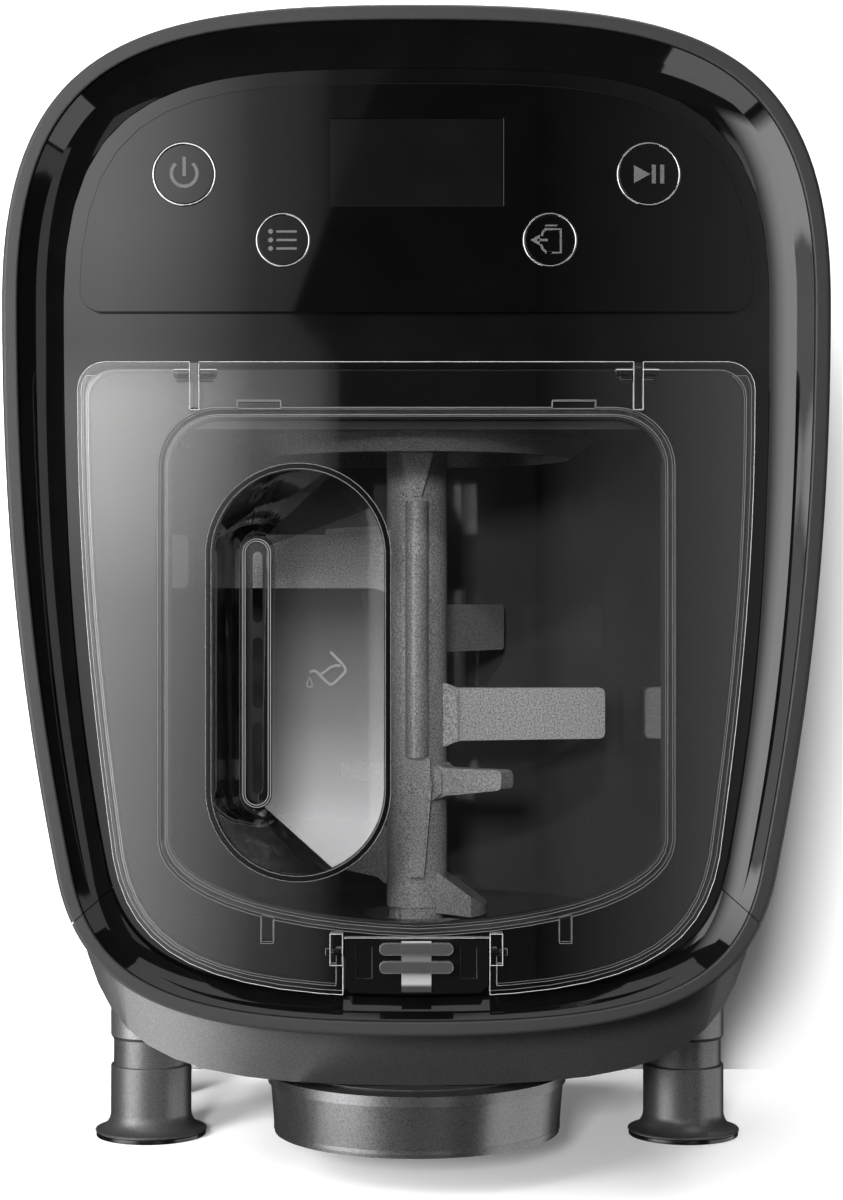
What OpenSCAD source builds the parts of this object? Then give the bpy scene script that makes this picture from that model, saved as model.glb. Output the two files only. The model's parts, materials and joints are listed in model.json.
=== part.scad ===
// Upright electric pasta maker: it kneads in a chamber behind a clear lid and presses
// the dough down through a shaping disc. X is across, Y is into the machine, Z is up,
// and the soles stand on Z = 0. Depths are measured back from the front of the rim.

/* [Body] */
// Depth of the whole machine
body_depth = 236; // [230:1:260]
// Height of the top of the face above the table
face_top = 336.7; // [334:0.1:345]
// Height of the lowest point of the face
face_bottom = 53.5; // [52:0.1:55]
// Half width of the face at its widest
face_half = 113.7; // [112:0.1:120]
// Height at which the face is widest
waist_z = 255.5; // [252:0.1:260]
// Width of the matt rim
rim_w = 4.4; // [4:0.1:5]
// Depth of the rim piece
rim_depth = 22; // [20:0.5:26]
// Height of the underside of the housing
housing_bottom = 31.2; // [30.8:0.1:32.2]
// Wall of the housing
wall = 2.5; // [2:0.1:3]
// Depth of the rear cover
cover_depth = 22; // [18:1:26]

/* [Face] */
// Inset of the deck's edge from the rim's edge at the sides and top
deck_inset = 15.6; // [15:0.1:16.5]
// Inset of the deck's edge at the bottom
deck_inset_low = 10; // [9.6:0.1:10.2]
// Depth of the deck's front
deck_d = 10; // [9.5:0.1:10.5]
// Thickness of the deck
deck_t = 3; // [2.5:0.1:3.5]
// Gap round the front panel that comes off
panel_gap = 0.35; // [0.3:0.05:0.6]
// Height at which the parting line meets the rim's edge
parting_z = 85.8; // [84:0.1:88]
// Rise of the parting line towards the middle
parting_rise = 0.88; // [0.8:0.01:0.95]

/* [Controls] */
// Height of the lower edge of the control panel
console_low = 253; // [252:0.1:255]
// Margin between the deck's edge and the control panel
console_margin = 4.8; // [4:0.1:7]
// Radius of the control panel's lower corners
console_r = 6; // [4:0.5:7]
// Thickness of the control panel
console_t = 2.6; // [2:0.1:3]
// Width of the display
display_w = 48; // [40:0.5:52]
// Height of the display
display_h = 24; // [20:0.5:26]
// Height of the middle of the display above the panel's lower edge
display_up = 41.5; // [40:0.1:43]
// Radius of the large buttons' rings
large_r = 8.8; // [8.2:0.1:9.4]
// Radius of the small buttons' rings
small_r = 7.5; // [7:0.1:8]
// Distance of the large buttons from the panel's sides
large_in = 29.1; // [27:0.1:31]
// Height of the large buttons above the panel's lower edge
large_up = 38.1; // [36:0.1:40]
// Distance of the small buttons from the panel's sides
small_in = 56.4; // [55:0.1:58]
// Height of the small buttons above the panel's lower edge
small_up = 19.9; // [18:0.1:21]
// Width of the bright ring round a button
ring_w = 0.5; // [0.4:0.1:0.9]
// Travel of a button
press = 1; // [0.8:0.1:1.2]
// Gap round a button
button_gap = 0.15; // [0.1:0.05:0.25]

/* [Lid] */
// Gap between the control panel and the lid
lid_margin_top = 14.2; // [13.6:0.1:14.6]
// Margin between the lid and the deck's edge at the bottom
lid_margin_low = 0.9; // [0.8:0.1:1.6]
// Margin between the lid and the deck's edge at the sides
lid_margin = 5.1; // [4.6:0.1:6.5]
// Depth of the lid's front
lid_d = 2.5; // [2:0.1:3]
// Thickness of the lid's plate
lid_t = 3; // [2.5:0.1:3.5]
// Thickness of the lid's standing walls
lid_wall = 2; // [1.6:0.1:2.4]
// Half width of the raised frame that closes the chamber
frame_half = 71.3; // [70.5:0.1:72]
// Height of the top of the raised frame
frame_top = 226.5; // [226:0.1:227]
// Height of the lowest point of the raised frame
frame_bottom = 80.7; // [80:0.1:81.5]
// Gap between the raised frame and the opening in the deck
frame_gap = 0.8; // [0.6:0.1:1.2]
// Depth of the hinge axis
hinge_d = 6.3; // [6:0.1:6.6]
// Distance of the hinges from the lid's sides
hinge_in = 32; // [30:0.5:34]
// Radius of the hinge pins
pin_r = 1.5; // [1.3:0.1:1.6]
// Height of the recess
tray_h = 114; // [108:1:118]
// Width of the recess
tray_w = 50; // [46:0.5:52]
// Distance of the recess's middle line from the middle of the lid
tray_x = 32.4; // [31:0.1:33]
// Height of the middle of the recess
tray_z = 153.5; // [151:0.1:156]
// Depth of the recess's slot line behind the face
tray_d = 35; // [32:0.5:36]
// Wall of the recess
tray_wall = 1.5; // [1.2:0.1:1.8]
// Width of the slots
slot_w = 2.9; // [2.4:0.1:3.2]
// Half width of the latch
latch_half = 19.6; // [18:0.1:21]
// Height of the latch
latch_h = 14.2; // [14:0.1:14.6]

/* [Chamber and drive] */
// Depth of the paddle's axis behind the face
axis_d = 78; // [77:0.5:79]
// Inner radius of the chamber
chamber_r = 63; // [62.5:0.1:64]
// Drop of the chamber's floor below the raised frame
floor_drop = 2.2; // [1.8:0.1:2.6]
// Drop of the chamber's ceiling below the top of the raised frame
ceiling_drop = 5.3; // [5:0.1:6]
// Gap between the paddle's arms and the chamber's wall
sweep_gap = 6; // [5:0.5:9]
// Radius of the paddle's shaft
shaft_r = 9.2; // [8.5:0.1:9.5]
// Inner radius of the extrusion barrel
barrel_r = 17.5; // [16:0.1:19]
// Radial gap between the screw and the barrel
screw_gap = 0.4; // [0.3:0.05:0.6]
// Module of the gears next to the motor
fast_module = 1.5; // [1.4:0.05:1.5]
// Module of the gears next to the paddle
slow_module = 2; // [1.9:0.05:2]
// Play between teeth, at the pitch circle
tooth_play = 0.35; // [0.3:0.05:0.5]
// Outer radius of the motor
motor_r = 28; // [26:0.5:29]

/* [Nozzle and feet] */
// Height of the underside of the nut
nut_z = 12.8; // [12:0.1:13.5]
// Radius of the nut at the top
nut_r = 45.2; // [44:0.1:46]
// Taper of the nut on the radius
nut_taper = 2; // [1.4:0.1:3]
// Radius of the shaping disc
disc_r = 33; // [31:0.5:34]
// Distance of the front legs from the widest line of the face
leg_in = 27.3; // [26:0.1:29]
// Depth of the front legs behind the face
leg_d = 130; // [126:1:134]
// Radius of the leg's boss
boss_r = 13; // [12.6:0.1:13.4]
// Radius of the foot's flare
flare_r = 18; // [17:0.5:20]
// Distance of the rear feet from the widest line of the face
rear_in = 21.7; // [21:0.1:24]
// Depth of the rear feet behind the face
rear_d = 200; // [196:1:202]
// Radius of the rear feet
rear_r = 12; // [11:0.5:12.5]

/* [Hidden] */
$fn = 64;
eps = 0.01;
gap = 0.3;

arc_steps = 12;
// upper curve of the face: how far its handles reach from the top and from the waist
top_reach = 0.65 * face_half;
side_reach = 0.9 * (face_top - waist_z);
// shoulder of the lower curve, and its lean
shoulder_in = 15;
shoulder_up = 44.1;
shoulder_lean = 11.3;
// reaches of the handles round the lower corners of the face and of the belly
waist_reach = 62;
corner_reach = 34.3;
bottom_reach = 66.2;
belly_up = 58.8;
belly_out = 3.5;
belly_corner = 48;
belly_reach = 84;

front_y = -body_depth / 2;
housing_end = body_depth - cover_depth;
bulge_d = 50;
rear_taper = 5;
pad_t = 2;
cover_back = body_depth - pad_t;
cover_slope = 9;
body_inset = 1.5;
bulge_inset = 1;

deck_back = deck_d + deck_t;
console_d = deck_d - console_t;
console_half = face_half - deck_inset - console_margin;
display_z = console_low + display_up;
large_x = console_half - large_in;
large_z = console_low + large_up;
small_x = console_half - small_in;
small_z = console_low + small_up;

lid_top = console_low - lid_margin_top;
lid_bottom = face_bottom + deck_inset_low + lid_margin_low;
lid_half = face_half - deck_inset - lid_margin;
hinge_z = lid_top - 2.8;
hinge_x = lid_half - hinge_in;
frame_back = deck_back - 1.5;
chamber_hw = frame_half - 2.8;
chamber_wall = 2.5;
floor_z = frame_bottom - floor_drop;
ceiling_z = frame_top - ceiling_drop;
sweep_r = chamber_r - sweep_gap;
chamber_top = ceiling_z + chamber_wall;
flange_t = 2.5;
plate_z = chamber_top + 4.3;
plate_t = 4;
board_d = deck_back + 4;
board_t = 1.6;
board_half = large_x + 15.8;
board_low = console_low + 3;
board_h = 50;
switch_t = 2;

fast_teeth_small = 10;
fast_teeth_large = 50;
slow_teeth_small = 12;
slow_teeth_large = 40;
slow_pitch_r = slow_teeth_large * slow_module / 2;
fast_pitch_r = fast_teeth_large * fast_module / 2;
pinion_pitch_r = fast_teeth_small * fast_module / 2;
slow_centres = slow_pitch_r + slow_teeth_small * slow_module / 2;
fast_centres = fast_pitch_r + pinion_pitch_r;
axle_d = axis_d + slow_centres;
motor_d = axle_d + fast_centres;
pressure_angle = 25;
fast_z = plate_z + plate_t + 2;
fast_face = 8;
slow_z = fast_z + fast_face + 1;
slow_face = 10;
gearbox_top = slow_z + slow_face + 4.5;
motor_len = 78;
drive_r = 6;
play = 0.06;

leg_x = face_half - leg_in;
rear_x = face_half - rear_in;
nut_low_r = nut_r - nut_taper;
nut_h = housing_bottom - gap - nut_z;
nut_lip = 3.2;
disc_t = 5;
barrel_low = nut_z + nut_lip + gap + disc_t;
barrel_wall = 4.5;
collar_r = barrel_r + barrel_wall + 8;
collar_z = housing_bottom + wall + 2;
thread_r = disc_r + 3.5;
sole_t = 1.5;
boss_low = 32.7;

module at_depth(d) { translate([0, front_y + d, 0]) children(); }

// stands a flat outline, drawn in X and Z, upright between two depths
module slab(d0, d1) {
    at_depth(d1) rotate([90, 0, 0]) linear_extrude(d1 - d0) children();
}

function bezier(a, b, c, d) = [for (i = [0 : arc_steps - 1]) let (t = i / arc_steps, u = 1 - t)
    u * u * u * a + 3 * u * u * t * b + 3 * u * t * t * c + t * t * t * d];
function mirrored(half) = concat(half, [for (i = [len(half) - 1 : -1 : 0])
    if (half[i][0] > eps) [-half[i][0], half[i][1]]]);

// half of a rounded shape, from its top round one side to its lowest point
function shield(half, top, waist, reach_t, reach_s, sx, sz, lean, bottom, drop, corner, reach_b) =
    let (t = [sin(lean), cos(lean)], s = [sx, sz])
    concat(
        bezier([0, top], [reach_t, top], [half, waist + reach_s], [half, waist]),
        bezier([half, waist], [half, waist - drop], s + 50 * t, s),
        bezier(s, s - corner * t, [reach_b, bottom], [0, bottom]),
        [[0, bottom]]);

// the face's outline, drawn in by one distance at the sides and another at the bottom
module face(inset, low) {
    k = (face_half - inset) / face_half;
    polygon(mirrored(shield(face_half - inset, face_top - inset, waist_z, top_reach * k,
        side_reach * k, face_half - shoulder_in - (inset + low) / 2 * 0.97,
        face_bottom + shoulder_up + 0.2 * low, shoulder_lean, face_bottom + low, waist_reach,
        corner_reach * k, bottom_reach * k)));
}

// the housing's outline: the face above, a deeper belly below
module body_outline(inset, low) {
    k = (face_half - inset) / face_half;
    polygon(mirrored(shield(face_half - inset, face_top - inset, waist_z, top_reach * k,
        side_reach * k, face_half - shoulder_in + belly_out - inset, housing_bottom + belly_up,
        shoulder_lean, housing_bottom + low, waist_reach, belly_corner, belly_reach)));
}

// the lid's outline, drawn in by one distance
module lid_outline(inset) {
    corner = lid_corner;
    half = lid_half - inset;
    top = lid_top - inset;
    polygon(mirrored(concat([[0, top]],
        [for (a = [90 : -15 : 15]) [half - corner + corner * cos(a), top - corner + corner * sin(a)]],
        bezier([half, top - corner], [half, top - 62],
            [half - 5.2, lid_bottom + 72], [half - 9.8, lid_bottom + 38]),
        bezier([half - 9.8, lid_bottom + 38], [half - 14.6, lid_bottom + 12],
            [half - 33, lid_bottom + inset], [0, lid_bottom + inset]),
        [[0, lid_bottom + inset]])));
}

// the raised frame's outline, drawn in by one distance
module frame_outline(inset) {
    half = frame_half - inset;
    top = frame_top - inset;
    low = frame_bottom + inset;
    r_top = 16.6 - inset;
    side_low = frame_bottom + 26;
    polygon(mirrored(concat([[0, top]],
        [for (a = [90 : -10 : 0]) [half - r_top + r_top * cos(a), top - r_top + r_top * sin(a)]],
        bezier([half, side_low], [half - 1, low + 12], [half - 26, low + 1.5], [0, low]),
        [[0, low]])));
}

module face_region() { translate([0, 200]) square([400, 600], center = true); }

// below the two parting lines
module panel_region(margin) {
    edge_x = face_half - 20.3;
    apex = parting_z + edge_x * parting_rise - margin;
    reach = 130;
    polygon([[0, apex], [reach, apex - reach * parting_rise], [reach, -20],
        [-reach, -20], [-reach, apex - reach * parting_rise]]);
}

module rim_ring() {
    difference() {
        union() {
            hull() {
                slab(0, 0.4) face(1.3, 1.3);
                slab(1.6, 2) face(0, 0);
            }
            slab(1.9, rim_depth) face(0, 0);
        }
        slab(-1, rim_depth + 1) face(rim_w, rim_w);
    }
}

module bezel_ring() {
    difference() {
        slab(1.4, deck_back) face(rim_w, rim_w);
        hull() {
            slab(1.3, 1.4) face(rim_w + 0.3, rim_w + 0.3);
            slab(deck_d - 0.1, deck_d) face(deck_inset, deck_inset_low);
        }
        slab(1, deck_back + 1) face(deck_inset, deck_inset_low);
    }
}

module above_parting() {
    intersection() {
        children();
        slab(-5, rim_depth + 5) difference() {
            face_region();
            panel_region(0);
        }
    }
}

module below_parting() {
    intersection() {
        children();
        slab(-5, rim_depth - panel_gap) panel_region(panel_gap);
    }
}

module front_frame() { color("dimgray") above_parting() rim_ring(); }
module front_panel() { color("dimgray") below_parting() rim_ring(); }
module bezel() { color("black") above_parting() bezel_ring(); }

module front_panel_bezel() {
    color("black") difference() {
        below_parting() bezel_ring();
        slab(deck_d - 2, deck_back + 1) face(deck_inset - gap, deck_inset_low - gap);
    }
}

module housing_solid(inset) {
    back = inset > 0 ? eps : 0;
    hull() {
        slab(rim_depth - back, rim_depth + 0.5) face(body_inset + inset, body_inset + inset);
        slab(bulge_d - 1, bulge_d) body_outline(bulge_inset + inset, inset);
    }
    hull() {
        slab(bulge_d - 1, bulge_d) body_outline(bulge_inset + inset, inset);
        slab(housing_end - 1, housing_end + back) body_outline(rear_taper + inset, inset);
    }
}

module leg_place(x, d) {
    for (side = [-1, 1]) translate([side * x, front_y + d, 0]) children();
}

rail_w = 14;
rail_in = face_half - rail_w - wall;
rail_len = 160;
rail_d = 122;
plate_half = rail_in + rail_w / 2;
web_len = 30;
web_h = 16;

module main_housing() {
    color("gray") difference() {
        union() {
            difference() {
                housing_solid(0);
                housing_solid(wall);
            }
            // bosses that the legs screw into
            leg_place(leg_x, leg_d) translate([0, 0, boss_low]) cylinder(h = 46, r = boss_r);
            leg_place(rear_x, rear_d) translate([0, 0, boss_low]) cylinder(h = 46, r = rear_r + 0.6);
            // rails that carry the gearbox plate, and webs to the pillars of the cover's screws
            intersection() {
                housing_solid(wall - 0.5);
                for (side = [-1, 1]) {
                    translate([side * (rail_in + rail_w / 2), front_y + rail_d, plate_z - 3])
                        cube([rail_w, rail_len, 6], center = true);
                    for (p = screw_spots)
                        translate([side * (p[0] + web_len / 2), front_y + housing_end - web_h / 2, p[1]])
                            cube([web_len, web_h, 4], center = true);
                }
            }
            cover_screw_places(housing_end) cylinder(h = web_h, r = pillar_r, $fn = 32);
            // seat of the barrel's collar
            at_depth(axis_d) translate([0, 0, housing_bottom + 1])
                cylinder(h = collar_z - housing_bottom - 1, r = collar_r);
        }
        at_depth(axis_d) translate([0, 0, housing_bottom - 1])
            cylinder(h = collar_z - housing_bottom + 2, r = barrel_r + barrel_wall + 0.1);
        cover_screw_places(housing_end + 1) cylinder(h = web_h - 2, r = screw_r_small, $fn = 24);
    }
}

screw_r_small = 1.5;
pillar_r = 5;
screw_spots = [[face_half - 23.7, waist_z + 6.5], [face_half - 33.7, housing_bottom + 86.8]];

// the four screws of the rear cover, whose children point forward
module cover_screw_places(d) {
    for (side = [-1, 1], p = screw_spots)
        translate([side * p[0], front_y + d, p[1]]) rotate([90, 0, 0]) children();
}

module cover_solid(inset, back) {
    hull() {
        slab(housing_end - (inset > 0 ? eps : 0), housing_end + 2) body_outline(rear_taper + inset, inset);
        slab(cover_back - back - 1, cover_back - back)
            body_outline(rear_taper + cover_slope + inset, cover_slope + inset);
    }
}

vent_count = 9;
vent_pitch = 7;
inlet_x = -46;
inlet_z = 66;
inlet_w = 28;
inlet_h = 22;
socket_d = 16;

module rear_cover() {
    color("dimgray") difference() {
        union() {
            difference() {
                cover_solid(0, 0);
                cover_solid(wall, wall);
            }
            // pillars for the screws
            cover_screw_places(cover_back - 1) cylinder(h = cover_depth - pad_t - 1, r = pillar_r, $fn = 32);
        }
        // vents behind the motor
        for (i = [0 : vent_count - 1]) translate([0, front_y + cover_back - 2, 150 + i * vent_pitch])
            cube([64, 10, 3], center = true);
        translate([inlet_x, front_y + cover_back, inlet_z])
            cube([inlet_w, 3 * wall, inlet_h], center = true);
        cover_screw_places(cover_back + 1) {
            cylinder(h = cover_depth + 5, r = screw_r_small, $fn = 24);
            cylinder(h = 4, r = 3.4, $fn = 32);
        }
    }
}

module cover_screws() {
    color("silver") cover_screw_places(cover_back - 0.8) {
        cylinder(h = 2.2, r = 3, $fn = 32);
        cylinder(h = cover_depth + 6, r = screw_r_small - 0.05, $fn = 24);
    }
}

module back_pads() {
    color("black") for (x = [-68, 68], z = [92, 278])
        translate([x, front_y + body_depth, z]) rotate([90, 0, 0]) cylinder(h = pad_t, r = 6);
}

module button_places(list) {
    for (p = list) translate([p[0], front_y + console_d, p[1]]) rotate([-90, 0, 0]) children();
}
large_places = [[-large_x, large_z], [large_x, large_z]];
small_places = [[-small_x, small_z], [small_x, small_z]];
stem_r = 2.4;

module deck() {
    color("black") difference() {
        union() {
            slab(deck_d, deck_back) face(deck_inset, deck_inset_low);
            // posts for the control board
            for (x = [board_half - 6, board_half - 34], side = [-1, 1], z = [4, board_h - 5])
                translate([side * x, front_y + deck_back - 1, board_low + z])
                    rotate([-90, 0, 0]) cylinder(h = board_d - deck_back + 1, r = 2.4, $fn = 24);
            // lugs that hold the hinge pins
            for (side = [-1, 1]) translate([side * hinge_x, 0, 0]) {
                translate([-1, front_y + hinge_d, hinge_z - 2.6]) cube([2, deck_d - hinge_d + 1.2, 5.2]);
                translate([-1, front_y + hinge_d, hinge_z]) rotate([0, 90, 0])
                    cylinder(h = 2, r = 2.6, $fn = 32);
            }
        }
        // opening for the lid's raised frame
        slab(deck_d - 1, deck_back + 1) frame_outline(-frame_gap);
        // slot for the latch's tongue
        translate([-tongue_half - 1, front_y + deck_d - 1, latch_axis_z - tongue_drop - 2.3])
            cube([2 * tongue_half + 2, deck_t + 2, 6]);
        button_places(concat(large_places, small_places)) cylinder(h = 12, r = stem_r + button_gap);
        for (side = [-1, 1]) translate([side * hinge_x - 2, front_y + hinge_d, hinge_z])
            rotate([0, 90, 0]) cylinder(h = 4, r = pin_r);
        // windows for the display
        slab(deck_d - 1, deck_back + 1) translate([0, display_z])
            square([display_w - 4, display_h - 4], center = true);
    }
}

module console_outline(inset) {
    intersection() {
        face(deck_inset + console_margin + inset, deck_inset_low);
        translate([-150, console_low + inset]) square([300, 200]);
    }
}

module control_panel() {
    color("black") difference() {
        slab(console_d, deck_d) offset(r = console_r) offset(delta = -console_r) console_outline(0);
        slab(console_d - 1, deck_d + 1) translate([0, display_z])
            square([display_w, display_h], center = true);
        button_places(large_places) translate([0, 0, -1]) cylinder(h = console_t + 2, r = large_r);
        button_places(small_places) translate([0, 0, -1]) cylinder(h = console_t + 2, r = small_r);
    }
}

module display_window() {
    color("darkslategray") slab(console_d + 0.1, deck_d)
        translate([0, display_z]) square([display_w - 0.1, display_h - 0.1], center = true);
}

module display_module() {
    color("seagreen") slab(deck_d, board_d) translate([0, display_z])
        square([display_w - 5, display_h - 5], center = true);
}

module button(r) {
    cap_r = r - ring_w - button_gap;
    translate([0, 0, -0.2]) cylinder(h = console_t - press - button_gap, r = cap_r);
    cylinder(h = board_d - switch_t - console_d - press - 0.1, r = stem_r, $fn = 32);
}

module power_button() { color("black") button_places([large_places[0]]) button(large_r); }
module play_button() { color("black") button_places([large_places[1]]) button(large_r); }
module menu_button() { color("black") button_places([small_places[0]]) button(small_r); }
module extrude_button() { color("black") button_places([small_places[1]]) button(small_r); }

module ring(r) {
    translate([0, 0, -0.3]) difference() {
        cylinder(h = console_t + 0.3, r = r - 0.02);
        translate([0, 0, -1]) cylinder(h = console_t + 3, r = r - ring_w);
    }
}

module button_rings() {
    color("silver") {
        button_places(large_places) ring(large_r);
        button_places(small_places) ring(small_r);
    }
}

module control_board() {
    color("darkgreen") difference() {
        slab(board_d, board_d + board_t) translate([-board_half, board_low])
            square([2 * board_half, board_h]);
        slab(board_d - 1, board_d + board_t + 1) for (side = [-1, 1])
            translate([side * board_half, board_low + board_h]) circle(r = 14);
    }
}

module button_switches() {
    color("gainsboro") button_places(concat(large_places, small_places))
        translate([0, 0, board_d - console_d - switch_t / 2]) cube([6, 6, switch_t], center = true);
}

lid_corner = 7.5;
edge_low_d = hinge_d + 1.9;

// latch
latch_low = lid_bottom + 0.6;
latch_top = latch_low + latch_h + 0.8;
latch_axis_z = latch_top - 3.6;
latch_axis_d = lid_d + 2.6;
latch_pin_r = 1;
ear_h = 8.6;
grip_half = 10.1;
grip_r = 1.55;
strip_half = 4.1;
tongue_half = 6;
tongue_drop = 4.6;

module tray_outline(grow) {
    translate([-tray_x, tray_z]) hull() for (side = [-1, 1])
        translate([0, side * (tray_h - tray_w) / 2]) circle(r = tray_w / 2 + grow);
}

channel_x = -45.7;
channel_r = 3.6;
channel_h = 76;
channel_lip = 0.5;
module channel_outline(grow) {
    translate([channel_x, tray_z - 1]) hull() for (side = [-1, 1])
        translate([0, side * (channel_h / 2 - channel_r)]) circle(r = channel_r + grow);
}

module lid() {
    color("lightblue", 0.4) difference() {
        union() {
            slab(lid_d, lid_d + lid_t) lid_outline(0);
            // edge wall
            difference() {
                slab(lid_d, deck_d - gap) lid_outline(0);
                slab(lid_d - 1, deck_d + 1) lid_outline(lid_wall);
            }
            // raised frame that enters the chamber's opening
            difference() {
                slab(lid_d, frame_back) frame_outline(0);
                slab(lid_d - 1, frame_back + 1) frame_outline(lid_wall);
            }
            // knuckles
            for (side = [-1, 1]) translate([side * hinge_x - 5, front_y + hinge_d, hinge_z])
                rotate([0, 90, 0]) cylinder(h = 10, r = 2.7);
            // ears for the latch's pins, and the walls below them
            for (side = [-1, 1]) {
                translate([side * (latch_half + 2.4) - 1.7, front_y + lid_d - 0.4,
                    latch_axis_z - ear_h / 2 + 1]) cube([3.4, 5.6, ear_h]);
                translate([side * (latch_half + 1.6) - 1, front_y + lid_d, lid_bottom + 0.8])
                    cube([2, deck_d - gap - lid_d, latch_axis_z - lid_bottom]);
            }
            // hooks that the seal snaps behind
            for (side = [-1, 1]) {
                translate([side * 41.2 - 1.7, front_y + lid_d, frame_bottom - 2]) cube([3.4, 7, 8]);
                translate([side * 43.5 - 6, front_y + lid_d, frame_top - 1]) cube([12, 7, 3]);
            }
        }
        // slots for the deck's lugs
        for (side = [-1, 1]) translate([side * hinge_x - 1.3, front_y - 1, frame_top - 0.8])
            cube([2.6, deck_d + 2, 20]);
        // the wall along the top edge is lower, so that it turns clear of the deck
        translate([-lid_half - 1, front_y + edge_low_d, hinge_z - 0.4])
            cube([2 * lid_half + 2, deck_d, lid_top - hinge_z + 2]);
        for (side = [-1, 1]) translate([side * hinge_x - 6, front_y + hinge_d, hinge_z])
            rotate([0, 90, 0]) cylinder(h = 12, r = pin_r + play);
        // opening for the latch
        translate([-latch_half - 0.6, front_y - 1, lid_bottom - 5])
            cube([2 * latch_half + 1.2, deck_d + 3, latch_top + 2 * gap - lid_bottom + 5]);
        for (side = [-1, 1]) translate([side * (latch_half + 2.4) - 3, front_y + latch_axis_d, latch_axis_z])
            rotate([0, 90, 0]) cylinder(h = 6, r = latch_pin_r);
        // opening for the pour recess
        slab(lid_d - 1, lid_d + lid_t + 1) tray_outline(0);
    }
}

module hinge_pins() {
    color("silver") for (side = [-1, 1]) translate([side * hinge_x - 4.8, front_y + hinge_d, hinge_z])
        rotate([0, 90, 0]) cylinder(h = 9.6, r = pin_r);
}

module lid_seal() {
    color("dimgray") difference() {
        slab(frame_back, deck_back - gap) frame_outline(0.1);
        slab(frame_back - 1, deck_back + 1) frame_outline(lid_wall - 0.1);
    }
}

module pour_tray() {
    color("black") difference() {
        union() {
            difference() {
                union() {
                    slab(lid_d, lid_d + lid_t + 1) tray_outline(0);
                    hull() {
                        slab(lid_d + lid_t, lid_d + lid_t + 1) tray_outline(0);
                        slab(tray_d + tray_wall - 1, tray_d + tray_wall) channel_outline(tray_wall);
                    }
                }
                slab(lid_d - 1, lid_d + lid_t) tray_outline(-tray_wall);
                hull() {
                    slab(lid_d + lid_t - 0.5, lid_d + lid_t) tray_outline(-tray_wall);
                    slab(tray_d - 2.5, tray_d - 2) channel_outline(0);
                }
            }
            // raised lip round the channel
            slab(tray_d - 4, tray_d) channel_outline(channel_lip);
        }
        slab(lid_d + lid_t, tray_d) channel_outline(-0.4);
        // three slots along the lowest line
        for (i = [-1 : 1]) slab(tray_d - 1, tray_d + tray_wall + 1)
            translate([channel_x, tray_z - 1 + i * 24.6]) hull() for (side = [-1, 1])
                translate([0, side * (10.2 - slot_w / 2)]) circle(r = slot_w / 2, $fn = 24);
    }
}

trim_out = 0.6;
trim_in = 1.2;
module tray_trim() {
    color("silver") difference() {
        slab(lid_d - 0.8, lid_d) tray_outline(trim_out);
        slab(lid_d - 2, lid_d + 1) tray_outline(-trim_in);
    }
}

module latch_lever() {
    color("darkslategray") difference() {
        union() {
            slab(lid_d + 0.6, lid_d + 3.4)
                polygon([[0, latch_low], [latch_half - 2, latch_low + 0.4], [latch_half, latch_low + 2.4],
                    [latch_half, latch_top], [-latch_half, latch_top], [-latch_half, latch_low + 2.4],
                    [-latch_half + 2, latch_low + 0.4]]);
            translate([-latch_half, front_y + latch_axis_d, latch_axis_z]) rotate([0, 90, 0])
                cylinder(h = 2 * latch_half, r = 1.9);
            // tongue that enters the deck
            translate([-tongue_half, front_y + latch_axis_d, latch_axis_z - tongue_drop])
                cube([2 * tongue_half, 8.2, 2.2]);
        }
        for (side = [-1, 1]) {
            translate([side * (latch_half - 2) - 3, front_y + latch_axis_d, latch_axis_z])
                rotate([0, 90, 0]) cylinder(h = 6, r = latch_pin_r + play);
            // shallow field beside the grips
            translate([side * (latch_half - 5.2) - 2.2, front_y + lid_d, latch_axis_z - 7])
                cube([4.4, 1, 8.6]);
        }
    }
}

module latch_pins() {
    color("silver") for (side = [-1, 1])
        translate([side * (latch_half + 1) - 2.2, front_y + latch_axis_d, latch_axis_z])
            rotate([0, 90, 0]) cylinder(h = 4.4, r = latch_pin_r);
}

// two bars, grooved for the strip that passes under them
module latch_grips() {
    color("whitesmoke") difference() {
        for (z = [latch_axis_z + 1.2, latch_axis_z - 3.8])
            slab(lid_d - 1.2, lid_d + 0.6) hull() for (side = [-1, 1])
                translate([side * (grip_half - grip_r), z]) circle(r = grip_r, $fn = 32);
        latch_strip();
    }
}

module latch_strip() {
    color("silver") slab(lid_d + 0.1, lid_d + 0.6)
        translate([-strip_half, latch_low + 0.7]) square([2 * strip_half, latch_top - latch_low - 1]);
}

module lid_switch() {
    color("dimgray") at_depth(deck_back) translate([10, 0, latch_axis_z - 11]) {
        cube([13, 6, 7]);
        translate([2, 0, 7]) cube([9, 4, 1.2]);
    }
}

// mixing chamber: a tunnel with a round back
module chamber_plan(grow) {
    depth = axis_d - deck_back - flange_t;
    half = chamber_r + grow - 0.5;
    intersection() {
        circle(r = chamber_r + grow);
        translate([-100, -30]) square([200, 200]);
    }
    polygon([[-chamber_hw - grow, -depth], [chamber_hw + grow, -depth], [half, 3], [-half, 3]]);
}

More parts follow.
